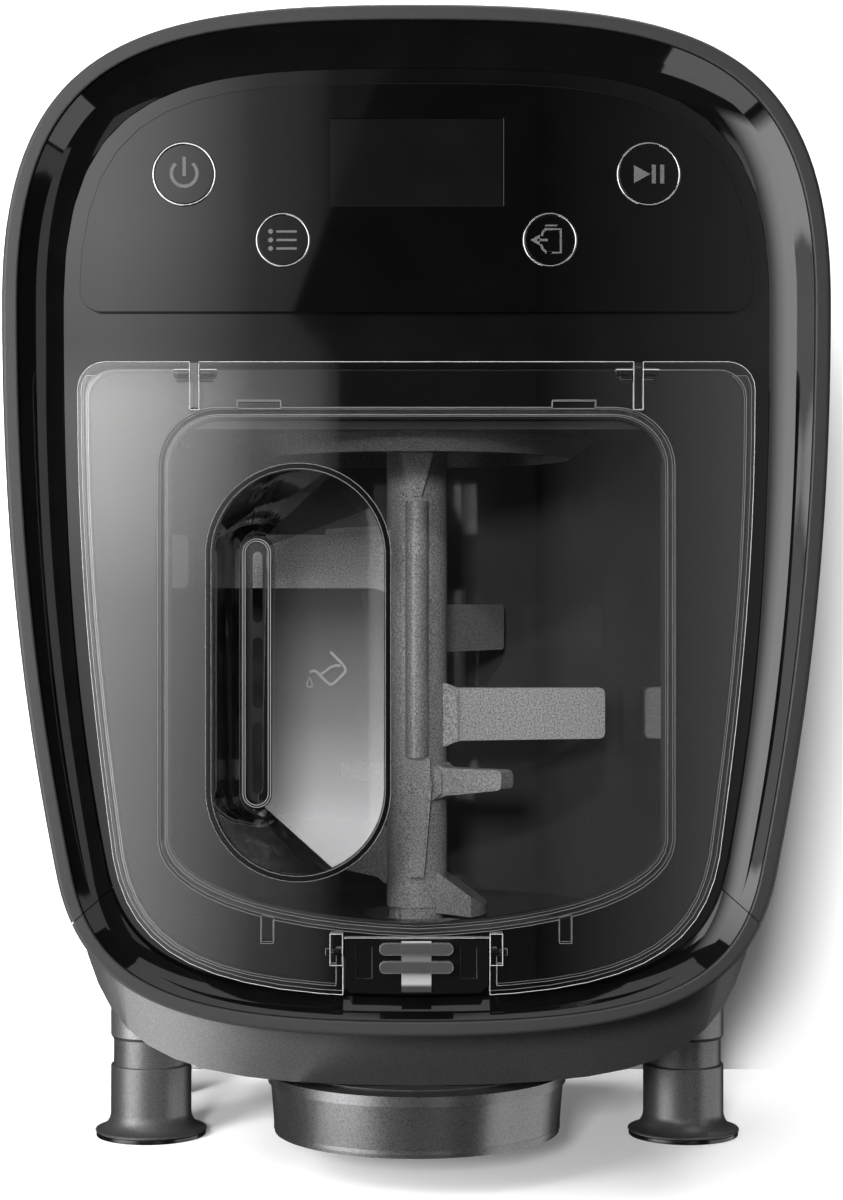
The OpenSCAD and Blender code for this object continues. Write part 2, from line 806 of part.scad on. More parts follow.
module mixing_chamber() {
    color("slategray") difference() {
        union() {
            at_depth(axis_d) translate([0, 0, floor_z - chamber_wall])
                linear_extrude(ceiling_z + 2 * chamber_wall - floor_z) chamber_plan(chamber_wall);
            slab(deck_back, deck_back + flange_t) difference() {
                frame_outline(-4);
                face_region_below(frame_bottom - 4);
            }
        }
        at_depth(axis_d) translate([0, 0, floor_z]) linear_extrude(ceiling_z - floor_z) chamber_plan(0);
        slab(deck_back - 1, deck_back + flange_t + 1) frame_outline(lid_wall + 0.6);
        // way down into the barrel, and the hole for the hub
        at_depth(axis_d) translate([0, 0, floor_z - 5]) cylinder(h = 10, r = barrel_r);
        at_depth(axis_d) translate([0, 0, ceiling_z - 1]) cylinder(h = 10, r = hub_r);
    }
}

module face_region_below(z) { translate([-200, z - 100]) square([400, 100]); }

hub_r = 16;
hub_plate_r = 47.9;
seal_r = 9;
hub_drop = 2.6;

// disc and conical ring of the ceiling, round the drive shaft
module chamber_hub() {
    color("gray") at_depth(axis_d) difference() {
        union() {
            translate([0, 0, ceiling_z - 5.2]) cylinder(h = 5.2, r1 = hub_plate_r - 1.5, r2 = 54);
            translate([0, 0, ceiling_z - 1]) cylinder(h = plate_z - ceiling_z + 1, r = hub_r - 0.1);
            translate([0, 0, ceiling_z - hub_drop]) cylinder(h = hub_drop, r1 = 11.5, r2 = 14);
        }
        difference() {
            translate([0, 0, ceiling_z - 6]) cylinder(h = 5.2, r1 = hub_plate_r - 2.5, r2 = hub_plate_r);
            translate([0, 0, ceiling_z - hub_drop]) cylinder(h = hub_drop, r1 = 11.5, r2 = 14);
        }
        translate([0, 0, ceiling_z - 10]) cylinder(h = 30, r = drive_r + 0.5);
        translate([0, 0, ceiling_z + 1]) cylinder(h = 30, r = seal_r);
    }
}

module shaft_seal() {
    color("black") at_depth(axis_d) translate([0, 0, ceiling_z + 1]) difference() {
        cylinder(h = plate_z - ceiling_z - 1, r = seal_r - 0.05);
        translate([0, 0, -1]) cylinder(h = 20, r = drive_r + play);
    }
}

// kneading paddle
paddle_low = floor_z + 2.2;
paddle_top = ceiling_z - hub_drop - gap;
rib_w = 7;
rib_low = floor_z + 47.5;
rib_h = 77;
keel_low = floor_z + 11.7;
keel_top = rib_low - 7;
keel_half = 4.6;
spigot_r = 5;
// each arm's turn, height above the floor, breadth, reach, thickness and rise of its lower edge
arms = [
    [0, 52.3, 16, sweep_r, 7, 0.6],
    [180, 98.5, 16.2, sweep_r, 7, 0],
    [64, 78.9, 14.6, sweep_r, 7, 0],
    [118, 102.5, 15.4, sweep_r, 7, 0],
    [140, 10.1, 14.6, sweep_r - 10, 7, 3],
    [-38, 36.1, 8.4, sweep_r - 23, 6, 2.4],
    [142, 38.5, 6.4, sweep_r - 29, 6, 1.6]
];

// a flat arm with rounded ends that reaches out to the swept radius
module arm(turn, low, height, reach, thick, rise) {
    translate([0, 0, low]) rotate(turn) {
        translate([0, thick / 2, 0]) rotate([90, 0, 0]) linear_extrude(thick)
            polygon([[shaft_r - 3, -2.4], [shaft_r + 4, 0], [reach - 1.6, rise], [reach - 0.4, rise + 0.5],
                [reach, rise + 1.8], [reach, height - 1.8], [reach - 0.4, height - 0.5],
                [reach - 1.6, height], [shaft_r + 3, height], [shaft_r - 3, height + 2.4]]);
        translate([0, thick / 2 + 1.2, -1]) rotate([90, 0, 0]) linear_extrude(thick + 2.4)
            polygon([[0, -1.4], [shaft_r, -0.6], [shaft_r + 3.2, 1.6], [shaft_r + 3.2, height - 0.4],
                [shaft_r, height + 2.2], [0, height + 3]]);
    }
}

module paddle() {
    color("silver") at_depth(axis_d) difference() {
        union() {
            translate([0, 0, paddle_low]) cylinder(h = paddle_top - paddle_low, r = shaft_r);
            for (a = arms) arm(a[0], floor_z + a[1], a[2], a[3], a[4], a[5]);
            // long front rib, the wedge above it and the keel below it
            translate([0, -shaft_r, rib_low]) cylinder(h = rib_h, r = rib_w / 2);
            translate([-rib_w / 2, -shaft_r, rib_low]) cube([rib_w, 5, rib_h]);
            front_wedge(rib_low + rib_h + 1.6, paddle_top - 0.8, 1.4, 5, 2.6);
            translate([-1.6, -shaft_r - 1.4, rib_low + rib_h - 1]) cube([3.2, 6, 4]);
            front_wedge(keel_top, keel_low, keel_half, keel_half - 2.5, 2.6);
            front_wedge(keel_top - 4, keel_low + 0.6, keel_half - 1.6, keel_half - 3.1, 3.3);
            translate([-keel_half + 0.6, -shaft_r - 1.8, keel_top - 0.1])
                cube([2 * keel_half - 1.2, 6, rib_low - keel_top + 0.2]);
        }
        // socket for the drive shaft and for the screw's spigot
        translate([0, 0, paddle_top - 14]) cylinder(h = 20, r = drive_r + 1 + play, $fn = 6);
        translate([0, 0, paddle_low - 1]) cylinder(h = 13, r = spigot_r + play);
    }
}

// a rib on the shaft's front whose width runs from one value to another
module front_wedge(z0, z1, half0, half1, proud) {
    translate([0, -shaft_r + 4, 0]) rotate([90, 0, 0]) linear_extrude(4 + proud)
        polygon([[-half0, z0], [half0, z0], [half1, z1], [-half1, z1]]);
}

screw_r = barrel_r - screw_gap;
screw_low = barrel_low + gap + 1.2;
screw_turns = 1.75;

module extrusion_screw() {
    length = floor_z - screw_low - 1;
    color("silver") at_depth(axis_d) {
        translate([0, 0, screw_low]) {
            cylinder(h = paddle_low - screw_low, r = 8.4);
            // one blade wound round the core
            linear_extrude(length, twist = 360 * screw_turns, slices = 44, $fn = 24) hull() {
                translate([screw_r - 3.4, 0]) circle(r = 3.3, $fn = 16);
                circle(r = 6);
            }
        }
        translate([0, 0, paddle_low - 1]) cylinder(h = 11, r = spigot_r);
        // flared scoop that lies on the chamber's floor, round the paddle's shaft
        difference() {
            scoop();
            translate([0, 0, paddle_low]) cylinder(h = 20, r = shaft_r);
        }
    }
}

// a ramp that lies on the floor at one side and climbs towards the shaft
scoop_r = 24;
scoop_rise = 32;
module scoop() {
    intersection() {
        translate([0, 0, floor_z + 0.5]) linear_extrude(14) polygon(concat([[0, 0]],
            [for (a = [-48 : 12 : 84]) let (r = scoop_r - (a + 48) * 0.06) [r * cos(a), r * sin(a)]]));
        translate([scoop_r, 0, floor_z + 1.6]) rotate([0, scoop_rise, 0])
            translate([-60, -40, -60]) cube([80, 80, 60]);
    }
}

module extrusion_barrel() {
    color("silver") at_depth(axis_d) difference() {
        union() {
            translate([0, 0, barrel_low])
                cylinder(h = floor_z - chamber_wall - barrel_low, r = barrel_r + barrel_wall);
            translate([0, 0, barrel_low]) cylinder(h = housing_bottom - barrel_low, r = thread_r - gap);
            translate([0, 0, floor_z - chamber_wall - 4]) cylinder(h = 4, r = barrel_r + barrel_wall + 7);
            translate([0, 0, collar_z]) cylinder(h = 3, r = collar_r);
        }
        translate([0, 0, barrel_low - 1]) cylinder(h = 80, r = barrel_r);
    }
}

outlet_count = 10;
module shaping_disc() {
    color("ivory") at_depth(axis_d) translate([0, 0, barrel_low - disc_t]) difference() {
        union() {
            cylinder(h = disc_t, r = disc_r);
            translate([0, 0, -nut_lip + 0.6]) cylinder(h = nut_lip, r = disc_r - 7.5);
        }
        for (i = [0 : outlet_count - 1]) rotate(i * 360 / outlet_count) translate([12, 0, -8])
            cylinder(h = 30, r = 2, $fn = 24);
        translate([0, 0, -8]) cylinder(h = 30, r = 2, $fn = 24);
    }
}

module nozzle_nut() {
    color("gray") at_depth(axis_d) translate([0, 0, nut_z]) difference() {
        union() {
            cylinder(h = nut_h - 3, r1 = nut_low_r, r2 = nut_r - 0.8, $fn = 96);
            translate([0, 0, nut_h - 3.02]) cylinder(h = 3.02, r = nut_r, $fn = 96);
            translate([0, 0, 1]) cylinder(h = 1.2, r = nut_low_r + 0.25, $fn = 96);
        }
        translate([0, 0, nut_lip]) cylinder(h = nut_h, r = thread_r);
        translate([0, 0, -1]) cylinder(h = nut_h, r = disc_r - 7.2);
        translate([0, 0, -1]) cylinder(h = 2.2, r1 = disc_r - 4, r2 = disc_r - 7.2);
    }
}

// involute teeth as a flat outline with one tooth on the X axis
function involute(r, base) = r <= base ? 0 : sqrt(pow(r / base, 2) - 1) * 180 / PI - acos(base / r);
function flank(teeth, m) =
    let (pitch = teeth * m / 2, base = pitch * cos(pressure_angle), root = pitch - 1.05 * m,
        tip = pitch + 0.8 * m, low = max(base, root), steps = 3)
    concat([[root, 0]], [for (i = [0 : steps]) let (r = low + (tip - low) * i / steps) [r, r]]);
module gear_outline(teeth, m) {
    pitch = teeth * m / 2;
    base = pitch * cos(pressure_angle);
    half_pitch = 90 / teeth - tooth_play / 4 / pitch * 180 / PI;
    full = half_pitch + involute(pitch, base);
    points = flank(teeth, m);
    polygon([for (k = [0 : teeth - 1]) each concat(
        [for (i = [0 : len(points) - 1])
            let (r = points[i][0], a = k * 360 / teeth - full + involute(r, base))
            [r * cos(a), r * sin(a)]],
        [for (i = [len(points) - 1 : -1 : 0])
            let (r = points[i][0], a = k * 360 / teeth + full - involute(r, base))
            [r * cos(a), r * sin(a)]])]);
}

module output_gear() {
    color("ivory") at_depth(axis_d) translate([0, 0, slow_z]) difference() {
        rotate(90) linear_extrude(slow_face) gear_outline(slow_teeth_large, slow_module);
        translate([0, 0, -1]) cylinder(h = slow_face + 2, r = drive_r);
        // web between rim and hub
        translate([0, 0, slow_face - 3]) difference() {
            cylinder(h = 4, r = 33);
            translate([0, 0, -1]) cylinder(h = 6, r = 13);
        }
        for (i = [0 : 4]) rotate(i * 72) translate([23, 0, -1]) cylinder(h = slow_face + 2, r = 6);
    }
}

module compound_gear() {
    color("ivory") at_depth(axle_d) difference() {
        union() {
            translate([0, 0, fast_z]) rotate(90)
                linear_extrude(fast_face) gear_outline(fast_teeth_large, fast_module);
            translate([0, 0, fast_z + fast_face - 0.1]) rotate(270 + 180 / slow_teeth_small)
                linear_extrude(slow_z + slow_face - fast_z - fast_face + 0.1)
                    gear_outline(slow_teeth_small, slow_module);
        }
        translate([0, 0, fast_z - 1]) cylinder(h = 30, r = 4 + play);
    }
}

module gear_axle() {
    color("silver") at_depth(axle_d) translate([0, 0, plate_z + 1])
        cylinder(h = gearbox_top - plate_z - 1.2, r = 4);
}

module motor_pinion() {
    color("gold") at_depth(motor_d) translate([0, 0, fast_z]) difference() {
        rotate(270 + 180 / fast_teeth_small) linear_extrude(fast_face)
            gear_outline(fast_teeth_small, fast_module);
        translate([0, 0, -1]) cylinder(h = fast_face + 2, r = 3);
    }
}

module drive_shaft() {
    color("silver") at_depth(axis_d) {
        translate([0, 0, paddle_top - 2]) cylinder(h = gearbox_top - 1.5 - paddle_top + 2, r = drive_r);
        translate([0, 0, paddle_top - 13]) cylinder(h = 13, r = drive_r + 1, $fn = 6);
    }
}

module bearing(outer, inner, h) {
    difference() {
        cylinder(h = h, r = outer);
        translate([0, 0, -1]) cylinder(h = h + 2, r = inner);
    }
}

module bearings() {
    color("silver") {
        at_depth(axis_d) translate([0, 0, plate_z]) bearing(11, drive_r + play, plate_t);
        at_depth(axis_d) translate([0, 0, gearbox_top - 3.5]) bearing(11, drive_r + play, 3.3);
        at_depth(motor_d) translate([0, 0, plate_z]) bearing(7, 3 + play, plate_t);
    }
}

gearbox_screw_places = [[-40, axis_d - 32], [40, axis_d - 32], [-44, axle_d + 22], [44, axle_d + 22],
    [-13, motor_d + 16], [13, motor_d + 16]];

module gearbox_outline(grow) {
    hull() {
        translate([0, front_y + axis_d]) circle(r = slow_pitch_r + 5 + grow);
        translate([0, front_y + axle_d]) circle(r = fast_pitch_r + 5.5 + grow);
        translate([0, front_y + motor_d]) circle(r = pinion_pitch_r + 6.5 + grow);
    }
}

module gearbox_plate() {
    color("lightgray") difference() {
        translate([-plate_half, front_y + rail_d - rail_len / 2, plate_z])
            cube([2 * plate_half, rail_len, plate_t]);
        at_depth(axis_d) translate([0, 0, plate_z - 1]) cylinder(h = plate_t + 2, r = 11);
        at_depth(motor_d) translate([0, 0, plate_z - 1]) cylinder(h = plate_t + 2, r = 7);
        at_depth(axle_d) translate([0, 0, plate_z + 1]) cylinder(h = plate_t + 2, r = 4);
        for (p = gearbox_screw_places) translate([p[0], front_y + p[1], plate_z - 1])
            cylinder(h = plate_t + 2, r = 1.5, $fn = 24);
    }
}

module gearbox_cover() {
    color("gray") difference() {
        union() {
            translate([0, 0, plate_z + plate_t]) linear_extrude(gearbox_top - plate_z - plate_t + 2.5)
                gearbox_outline(2.5);
            for (p = gearbox_screw_places) translate([p[0], front_y + p[1], plate_z + plate_t])
                cylinder(h = 8, r = 5, $fn = 32);
        }
        translate([0, 0, plate_z + plate_t - 1]) linear_extrude(gearbox_top - 3.5 - plate_z - plate_t + 1)
            gearbox_outline(0);
        at_depth(axis_d) translate([0, 0, gearbox_top - 4]) cylinder(h = 4, r = 11);
        at_depth(axle_d) translate([0, 0, gearbox_top - 4]) cylinder(h = 4, r = 4);
        for (p = gearbox_screw_places) translate([p[0], front_y + p[1], plate_z + plate_t - 1])
            cylinder(h = 12, r = 1.5, $fn = 24);
    }
}

module gearbox_screws() {
    color("silver") for (p = gearbox_screw_places) translate([p[0], front_y + p[1], plate_z + 0.4]) {
        cylinder(h = plate_t + 8, r = 1.4, $fn = 24);
        translate([0, 0, plate_t + 7.8]) cylinder(h = 2, r = 2.8, $fn = 24);
    }
}

module motor_case() {
    low = plate_z - motor_len;
    color("silver") at_depth(motor_d) translate([0, 0, low]) difference() {
        cylinder(h = motor_len, r = motor_r);
        translate([0, 0, 3]) cylinder(h = motor_len - 6, r = motor_r - 3);
        translate([0, 0, -1]) cylinder(h = motor_len + 2, r = 3 + play);
        for (i = [0 : 5]) rotate(i * 60) translate([16, 0, -1]) cylinder(h = 5, r = 3.4, $fn = 24);
    }
}

module motor_rotor() {
    low = plate_z - motor_len;
    color("peru") at_depth(motor_d) {
        translate([0, 0, low - 16]) cylinder(h = fast_z + fast_face - low + 16, r = 3);
        translate([0, 0, low + 12]) cylinder(h = motor_len - 26, r = motor_r - 4.5);
        translate([0, 0, low + 4]) cylinder(h = 8, r = 9);
    }
}

module cooling_fan() {
    low = plate_z - motor_len - 15;
    color("black") at_depth(motor_d) translate([0, 0, low]) difference() {
        union() {
            cylinder(h = 10, r = 7);
            for (i = [0 : 7]) rotate(i * 45) translate([15, 0, 5]) rotate([35, 0, 0])
                cube([18, 1.6, 9], center = true);
        }
        translate([0, 0, -1]) cylinder(h = 14, r = 3);
    }
}

module power_board() {
    color("darkgreen") translate([fast_pitch_r + 16.5, front_y + axle_d - 12, plate_z + plate_t]) {
        translate([0, 0, 5]) cube([44, 74, 1.6]);
        for (x = [5, 39], y = [5, 69]) translate([x, y, 0]) cylinder(h = 5.1, r = 2.5, $fn = 24);
        translate([8, 12, 6.5]) cube([18, 20, 14]);
        translate([32, 44, 6.5]) cylinder(h = 18, r = 6.5);
        translate([12, 46, 6.5]) cube([10, 16, 9]);
    }
}

module mains_inlet() {
    color("black") translate([inlet_x, front_y + cover_back, inlet_z]) {
        difference() {
            union() {
                translate([-inlet_w / 2 + 0.1, -socket_d - 3, -inlet_h / 2 + 0.1])
                    cube([inlet_w - 0.2, socket_d + 2.8, inlet_h - 0.2]);
                translate([-inlet_w / 2 - 3, -wall - 2, -inlet_h / 2 - 2])
                    cube([inlet_w + 6, 2, inlet_h + 4]);
            }
            translate([-inlet_w / 2 + 2.2, -socket_d, -inlet_h / 2 + 2.2])
                cube([inlet_w - 4.4, socket_d + 1, inlet_h - 4.4]);
        }
        // contact pins
        for (x = [-7, 0, 7]) translate([x - 1, -socket_d - 1, (x == 0 ? 3.2 : 0.4) - 2])
            cube([2, socket_d - 2, 4]);
    }
}

module front_legs() {
    color("gray") leg_place(leg_x, leg_d) {
        translate([0, 0, sole_t + 5]) cylinder(h = boss_low - 0.8 - sole_t - 5, r = boss_r - 0.9);
    }
}

module leg_gaskets() {
    color("black") leg_place(leg_x, leg_d)
        translate([0, 0, boss_low - 0.8]) cylinder(h = 0.8, r = boss_r - 0.4);
}

module leg_sleeves() {
    color("gray") leg_place(leg_x, leg_d) difference() {
        union() {
            translate([0, 0, 6]) cylinder(h = 17.2, r = boss_r);
            rotate_extrude() polygon(concat([[0, sole_t], [flare_r, sole_t], [flare_r, sole_t + 0.8]],
                [for (a = [0 : 15 : 90])
                    [flare_r - (flare_r - boss_r) * sin(a), sole_t + 0.8 + 5.4 * (1 - cos(a))]],
                [[0, 7]]));
        }
        translate([0, 0, sole_t + 5]) cylinder(h = 40, r = boss_r - 0.9);
    }
}

module front_soles() {
    color("black") leg_place(leg_x, leg_d) cylinder(h = sole_t, r = flare_r - 0.3);
}

module rear_feet() {
    color("dimgray") leg_place(rear_x, rear_d)
        translate([0, 0, sole_t]) cylinder(h = boss_low - sole_t, r = rear_r);
}

module rear_soles() {
    color("black") leg_place(rear_x, rear_d) cylinder(h = sole_t, r = rear_r - 0.3);
}

main_housing();
rear_cover();
front_frame();
front_panel();
bezel();
front_panel_bezel();
deck();
control_panel();
display_window();
display_module();
power_button();
menu_button();
play_button();
extrude_button();
button_rings();
control_board();
button_switches();
lid();
hinge_pins();
lid_seal();
pour_tray();
tray_trim();
latch_lever();
latch_grips();
latch_strip();
latch_pins();
lid_switch();
mixing_chamber();
chamber_hub();
shaft_seal();
paddle();
extrusion_screw();
extrusion_barrel();
shaping_disc();
nozzle_nut();
drive_shaft();
output_gear();
compound_gear();
gear_axle();
motor_pinion();
bearings();
gearbox_plate();
gearbox_cover();
gearbox_screws();
motor_case();
motor_rotor();
cooling_fan();
power_board();
mains_inlet();
front_legs();
leg_gaskets();
leg_sleeves();
front_soles();
rear_feet();
rear_soles();
back_pads();
cover_screws();
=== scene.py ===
"""Looks of an upright electric pasta maker, dressed round the fixed frame of its CAD model."""

import json
import math

import bmesh
import bpy
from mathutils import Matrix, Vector


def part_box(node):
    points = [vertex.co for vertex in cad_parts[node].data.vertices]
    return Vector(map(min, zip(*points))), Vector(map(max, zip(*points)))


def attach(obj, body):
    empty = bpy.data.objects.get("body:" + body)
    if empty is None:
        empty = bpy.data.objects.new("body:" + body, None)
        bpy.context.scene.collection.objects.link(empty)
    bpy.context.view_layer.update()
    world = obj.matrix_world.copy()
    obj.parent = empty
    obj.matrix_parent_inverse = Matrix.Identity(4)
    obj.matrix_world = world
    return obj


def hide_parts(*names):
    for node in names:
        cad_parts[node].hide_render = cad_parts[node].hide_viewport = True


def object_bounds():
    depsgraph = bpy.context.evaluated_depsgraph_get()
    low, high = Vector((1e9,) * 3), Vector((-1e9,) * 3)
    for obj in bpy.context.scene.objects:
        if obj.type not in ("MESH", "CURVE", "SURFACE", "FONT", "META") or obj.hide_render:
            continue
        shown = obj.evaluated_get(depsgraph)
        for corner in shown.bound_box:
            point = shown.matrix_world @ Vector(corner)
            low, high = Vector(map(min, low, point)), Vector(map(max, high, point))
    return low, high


bl_info = {
    "name": "Pasta Maker Looks",
    "version": (1, 0, 0),
    "blender": (4, 5, 0),
    "location": "View3D > Sidebar > Pasta Maker",
    "description": "Dresses an electric pasta maker with its finishes, small parts and studio",
    "category": "Object",
}

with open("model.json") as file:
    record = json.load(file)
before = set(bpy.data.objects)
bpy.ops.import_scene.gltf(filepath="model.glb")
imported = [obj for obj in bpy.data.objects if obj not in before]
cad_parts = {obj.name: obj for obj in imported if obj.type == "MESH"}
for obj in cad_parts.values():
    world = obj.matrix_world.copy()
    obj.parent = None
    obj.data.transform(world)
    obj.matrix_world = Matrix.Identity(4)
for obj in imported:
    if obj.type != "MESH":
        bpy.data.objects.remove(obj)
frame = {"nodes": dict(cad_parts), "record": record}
CAD_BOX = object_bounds()
NODES = frame["nodes"]
BODY_OF = {n: b for b, ns in frame["record"]["behaviour"]["bodies"].items() for n in ns}
MM = 0.001
FRONT = CAD_BOX[0][1] / MM  # the front of the rim, in mm


# ---------------------------------------------------------------- colours and nodes


def linear(code):
    """An sRGB hex colour as linear red, green, blue and alpha."""
    parts = [int(code[i:i + 2], 16) / 255 for i in (1, 3, 5)]
    return tuple(c / 12.92 if c <= 0.04045 else ((c + 0.055) / 1.055) ** 2.4 for c in parts) + (1.0,)


def add(tree, kind, inputs=None, **settings):
    """Adds a node, sets its properties, and sets or links its inputs."""
    node = tree.nodes.new(kind)
    for key, value in settings.items():
        setattr(node, key, value)
    for key, value in (inputs or {}).items():
        socket = node.inputs[key]
        if isinstance(value, bpy.types.NodeSocket):
            tree.links.new(value, socket)
        else:
            socket.default_value = value
    return node


def material(name):
    """A new node material with an output and nothing else."""
    mat = bpy.data.materials.new(name)
    mat.use_nodes = True
    mat.node_tree.nodes.clear()
    return mat, mat.node_tree, add(mat.node_tree, "ShaderNodeOutputMaterial")


def object_noise(tree, size_mm, detail=2.0, roughness=0.5):
    """Noise whose features are about size_mm wide."""
    place = add(tree, "ShaderNodeTexCoord")
    return add(tree, "ShaderNodeTexNoise", {
        "Vector": place.outputs["Object"], "Scale": 1 / (size_mm * MM),
        "Detail": detail, "Roughness": roughness})


def ramp(tree, factor, low, high, start=0.0, end=1.0):
    """A colour that runs from low to high while the factor runs from start to end."""
    node = add(tree, "ShaderNodeValToRGB", {"Fac": factor})
    node.color_ramp.elements[0].position = start
    node.color_ramp.elements[1].position = end
    node.color_ramp.elements[0].color = low
    node.color_ramp.elements[1].color = high
    return node.outputs["Color"]


def value_between(tree, factor, low, high):
    """A value from low to high, for the middle half of a noise's range."""
    spread = add(tree, "ShaderNodeMapRange", {
        "Value": factor, "From Min": 0.25, "From Max": 0.75, "To Min": low, "To Max": high})
    return spread.outputs["Result"]


def by_place(tree, axis, stops):
    """A value that changes along an axis of the piece: stops are (metres, value up to 1) in rising order."""
    place = add(tree, "ShaderNodeTexCoord")
    split = add(tree, "ShaderNodeSeparateXYZ", {"Vector": place.outputs["Object"]})
    low, high = stops[0][0], stops[-1][0]
    share = add(tree, "ShaderNodeMapRange", {"Value": split.outputs[axis], "From Min": low, "From Max": high})
    node = add(tree, "ShaderNodeValToRGB", {"Fac": share.outputs["Result"]})
    elements = node.color_ramp.elements
    while len(elements) < len(stops):
        elements.new(0.5)
    for element, (where, value) in zip(elements, stops):
        element.position = (where - low) / (high - low)
        element.color = (value, value, value, 1)
    return node.outputs["Color"]


FINISHES = {}  # the finishes' materials by name


def moulded(name, low, high, rough, grain_mm, bump, metal=0.0, ior=1.5, spread=0.05):
    """A moulded, cast or sprayed surface: two near colours in a fine grain that also drives gloss and relief.

    bump is the relief's depth in mm, and spread is how far the roughness runs to either side of rough.
    """
    mat, tree, out = material(name)
    grain = object_noise(tree, grain_mm, 3.0, 0.6)
    surface = add(tree, "ShaderNodeBsdfPrincipled", {
        "Base Color": ramp(tree, grain.outputs["Fac"], linear(low), linear(high), 0.32, 0.68),
        "Roughness": value_between(tree, grain.outputs["Fac"], rough - spread, rough + spread),
        "Metallic": metal})
    if not metal:
        surface.inputs["IOR"].default_value = ior
    if bump:
        relief = add(tree, "ShaderNodeBump", {
            "Strength": 1.0, "Distance": bump * MM, "Height": grain.outputs["Fac"]})
        tree.links.new(relief.outputs["Normal"], surface.inputs["Normal"])
    tree.links.new(surface.outputs["BSDF"], out.inputs["Surface"])
    FINISHES[name] = mat


def painted_sheen_bands(name, sheen_stops):
    """Smooth metal with a painted sheen: its tone runs by height, as light falls on a bent strip."""
    mat, tree, out = material(name)
    surface = add(tree, "ShaderNodeBsdfPrincipled", {
        "Base Color": by_place(tree, "Z", sheen_stops), "Roughness": 0.3, "Metallic": 0.3})
    tree.links.new(surface.outputs["BSDF"], out.inputs["Surface"])
    FINISHES[name] = mat


def clear(name, tint, mirror, rough=0.02, ior=1.58, haze="#ffffff", cloud=0.0, mist_and_shade=()):
    """Clear or smoked plastic: light passes straight through, and the surface mirrors by its angle.

    cloud is the share of it that scatters light, and the misting list gives that share by height in metres
    instead; on the recess floor its thinning upwards is partly painted shade.
    """
    mat, tree, out = material(name)
    through = add(tree, "ShaderNodeBsdfTransparent", {"Color": linear(tint)})
    wear = object_noise(tree, 25.0, 2.0)
    body = through
    if cloud or mist_and_shade:
        paint = add(tree, "ShaderNodeBsdfDiffuse", {"Color": linear(haze)})
        body = add(tree, "ShaderNodeMixShader", {
            "Fac": by_place(tree, "Z", mist_and_shade) if mist_and_shade else cloud,
            1: through.outputs["BSDF"], 2: paint.outputs["BSDF"]})
    shine = add(tree, "ShaderNodeBsdfAnisotropic", {
        "Color": linear("#f8f8f7"),
        "Roughness": value_between(tree, wear.outputs["Fac"], rough * 0.7, rough * 1.3)})
    angle = add(tree, "ShaderNodeFresnel", {"IOR": ior})
    share = add(tree, "ShaderNodeMath", {0: angle.outputs["Fac"], 1: mirror},
                operation="MULTIPLY", use_clamp=True)
    both = add(tree, "ShaderNodeMixShader", {
        "Fac": share.outputs[0], 1: body.outputs[0], 2: shine.outputs["BSDF"]})
    tree.links.new(both.outputs["Shader"], out.inputs["Surface"])
    FINISHES[name] = mat


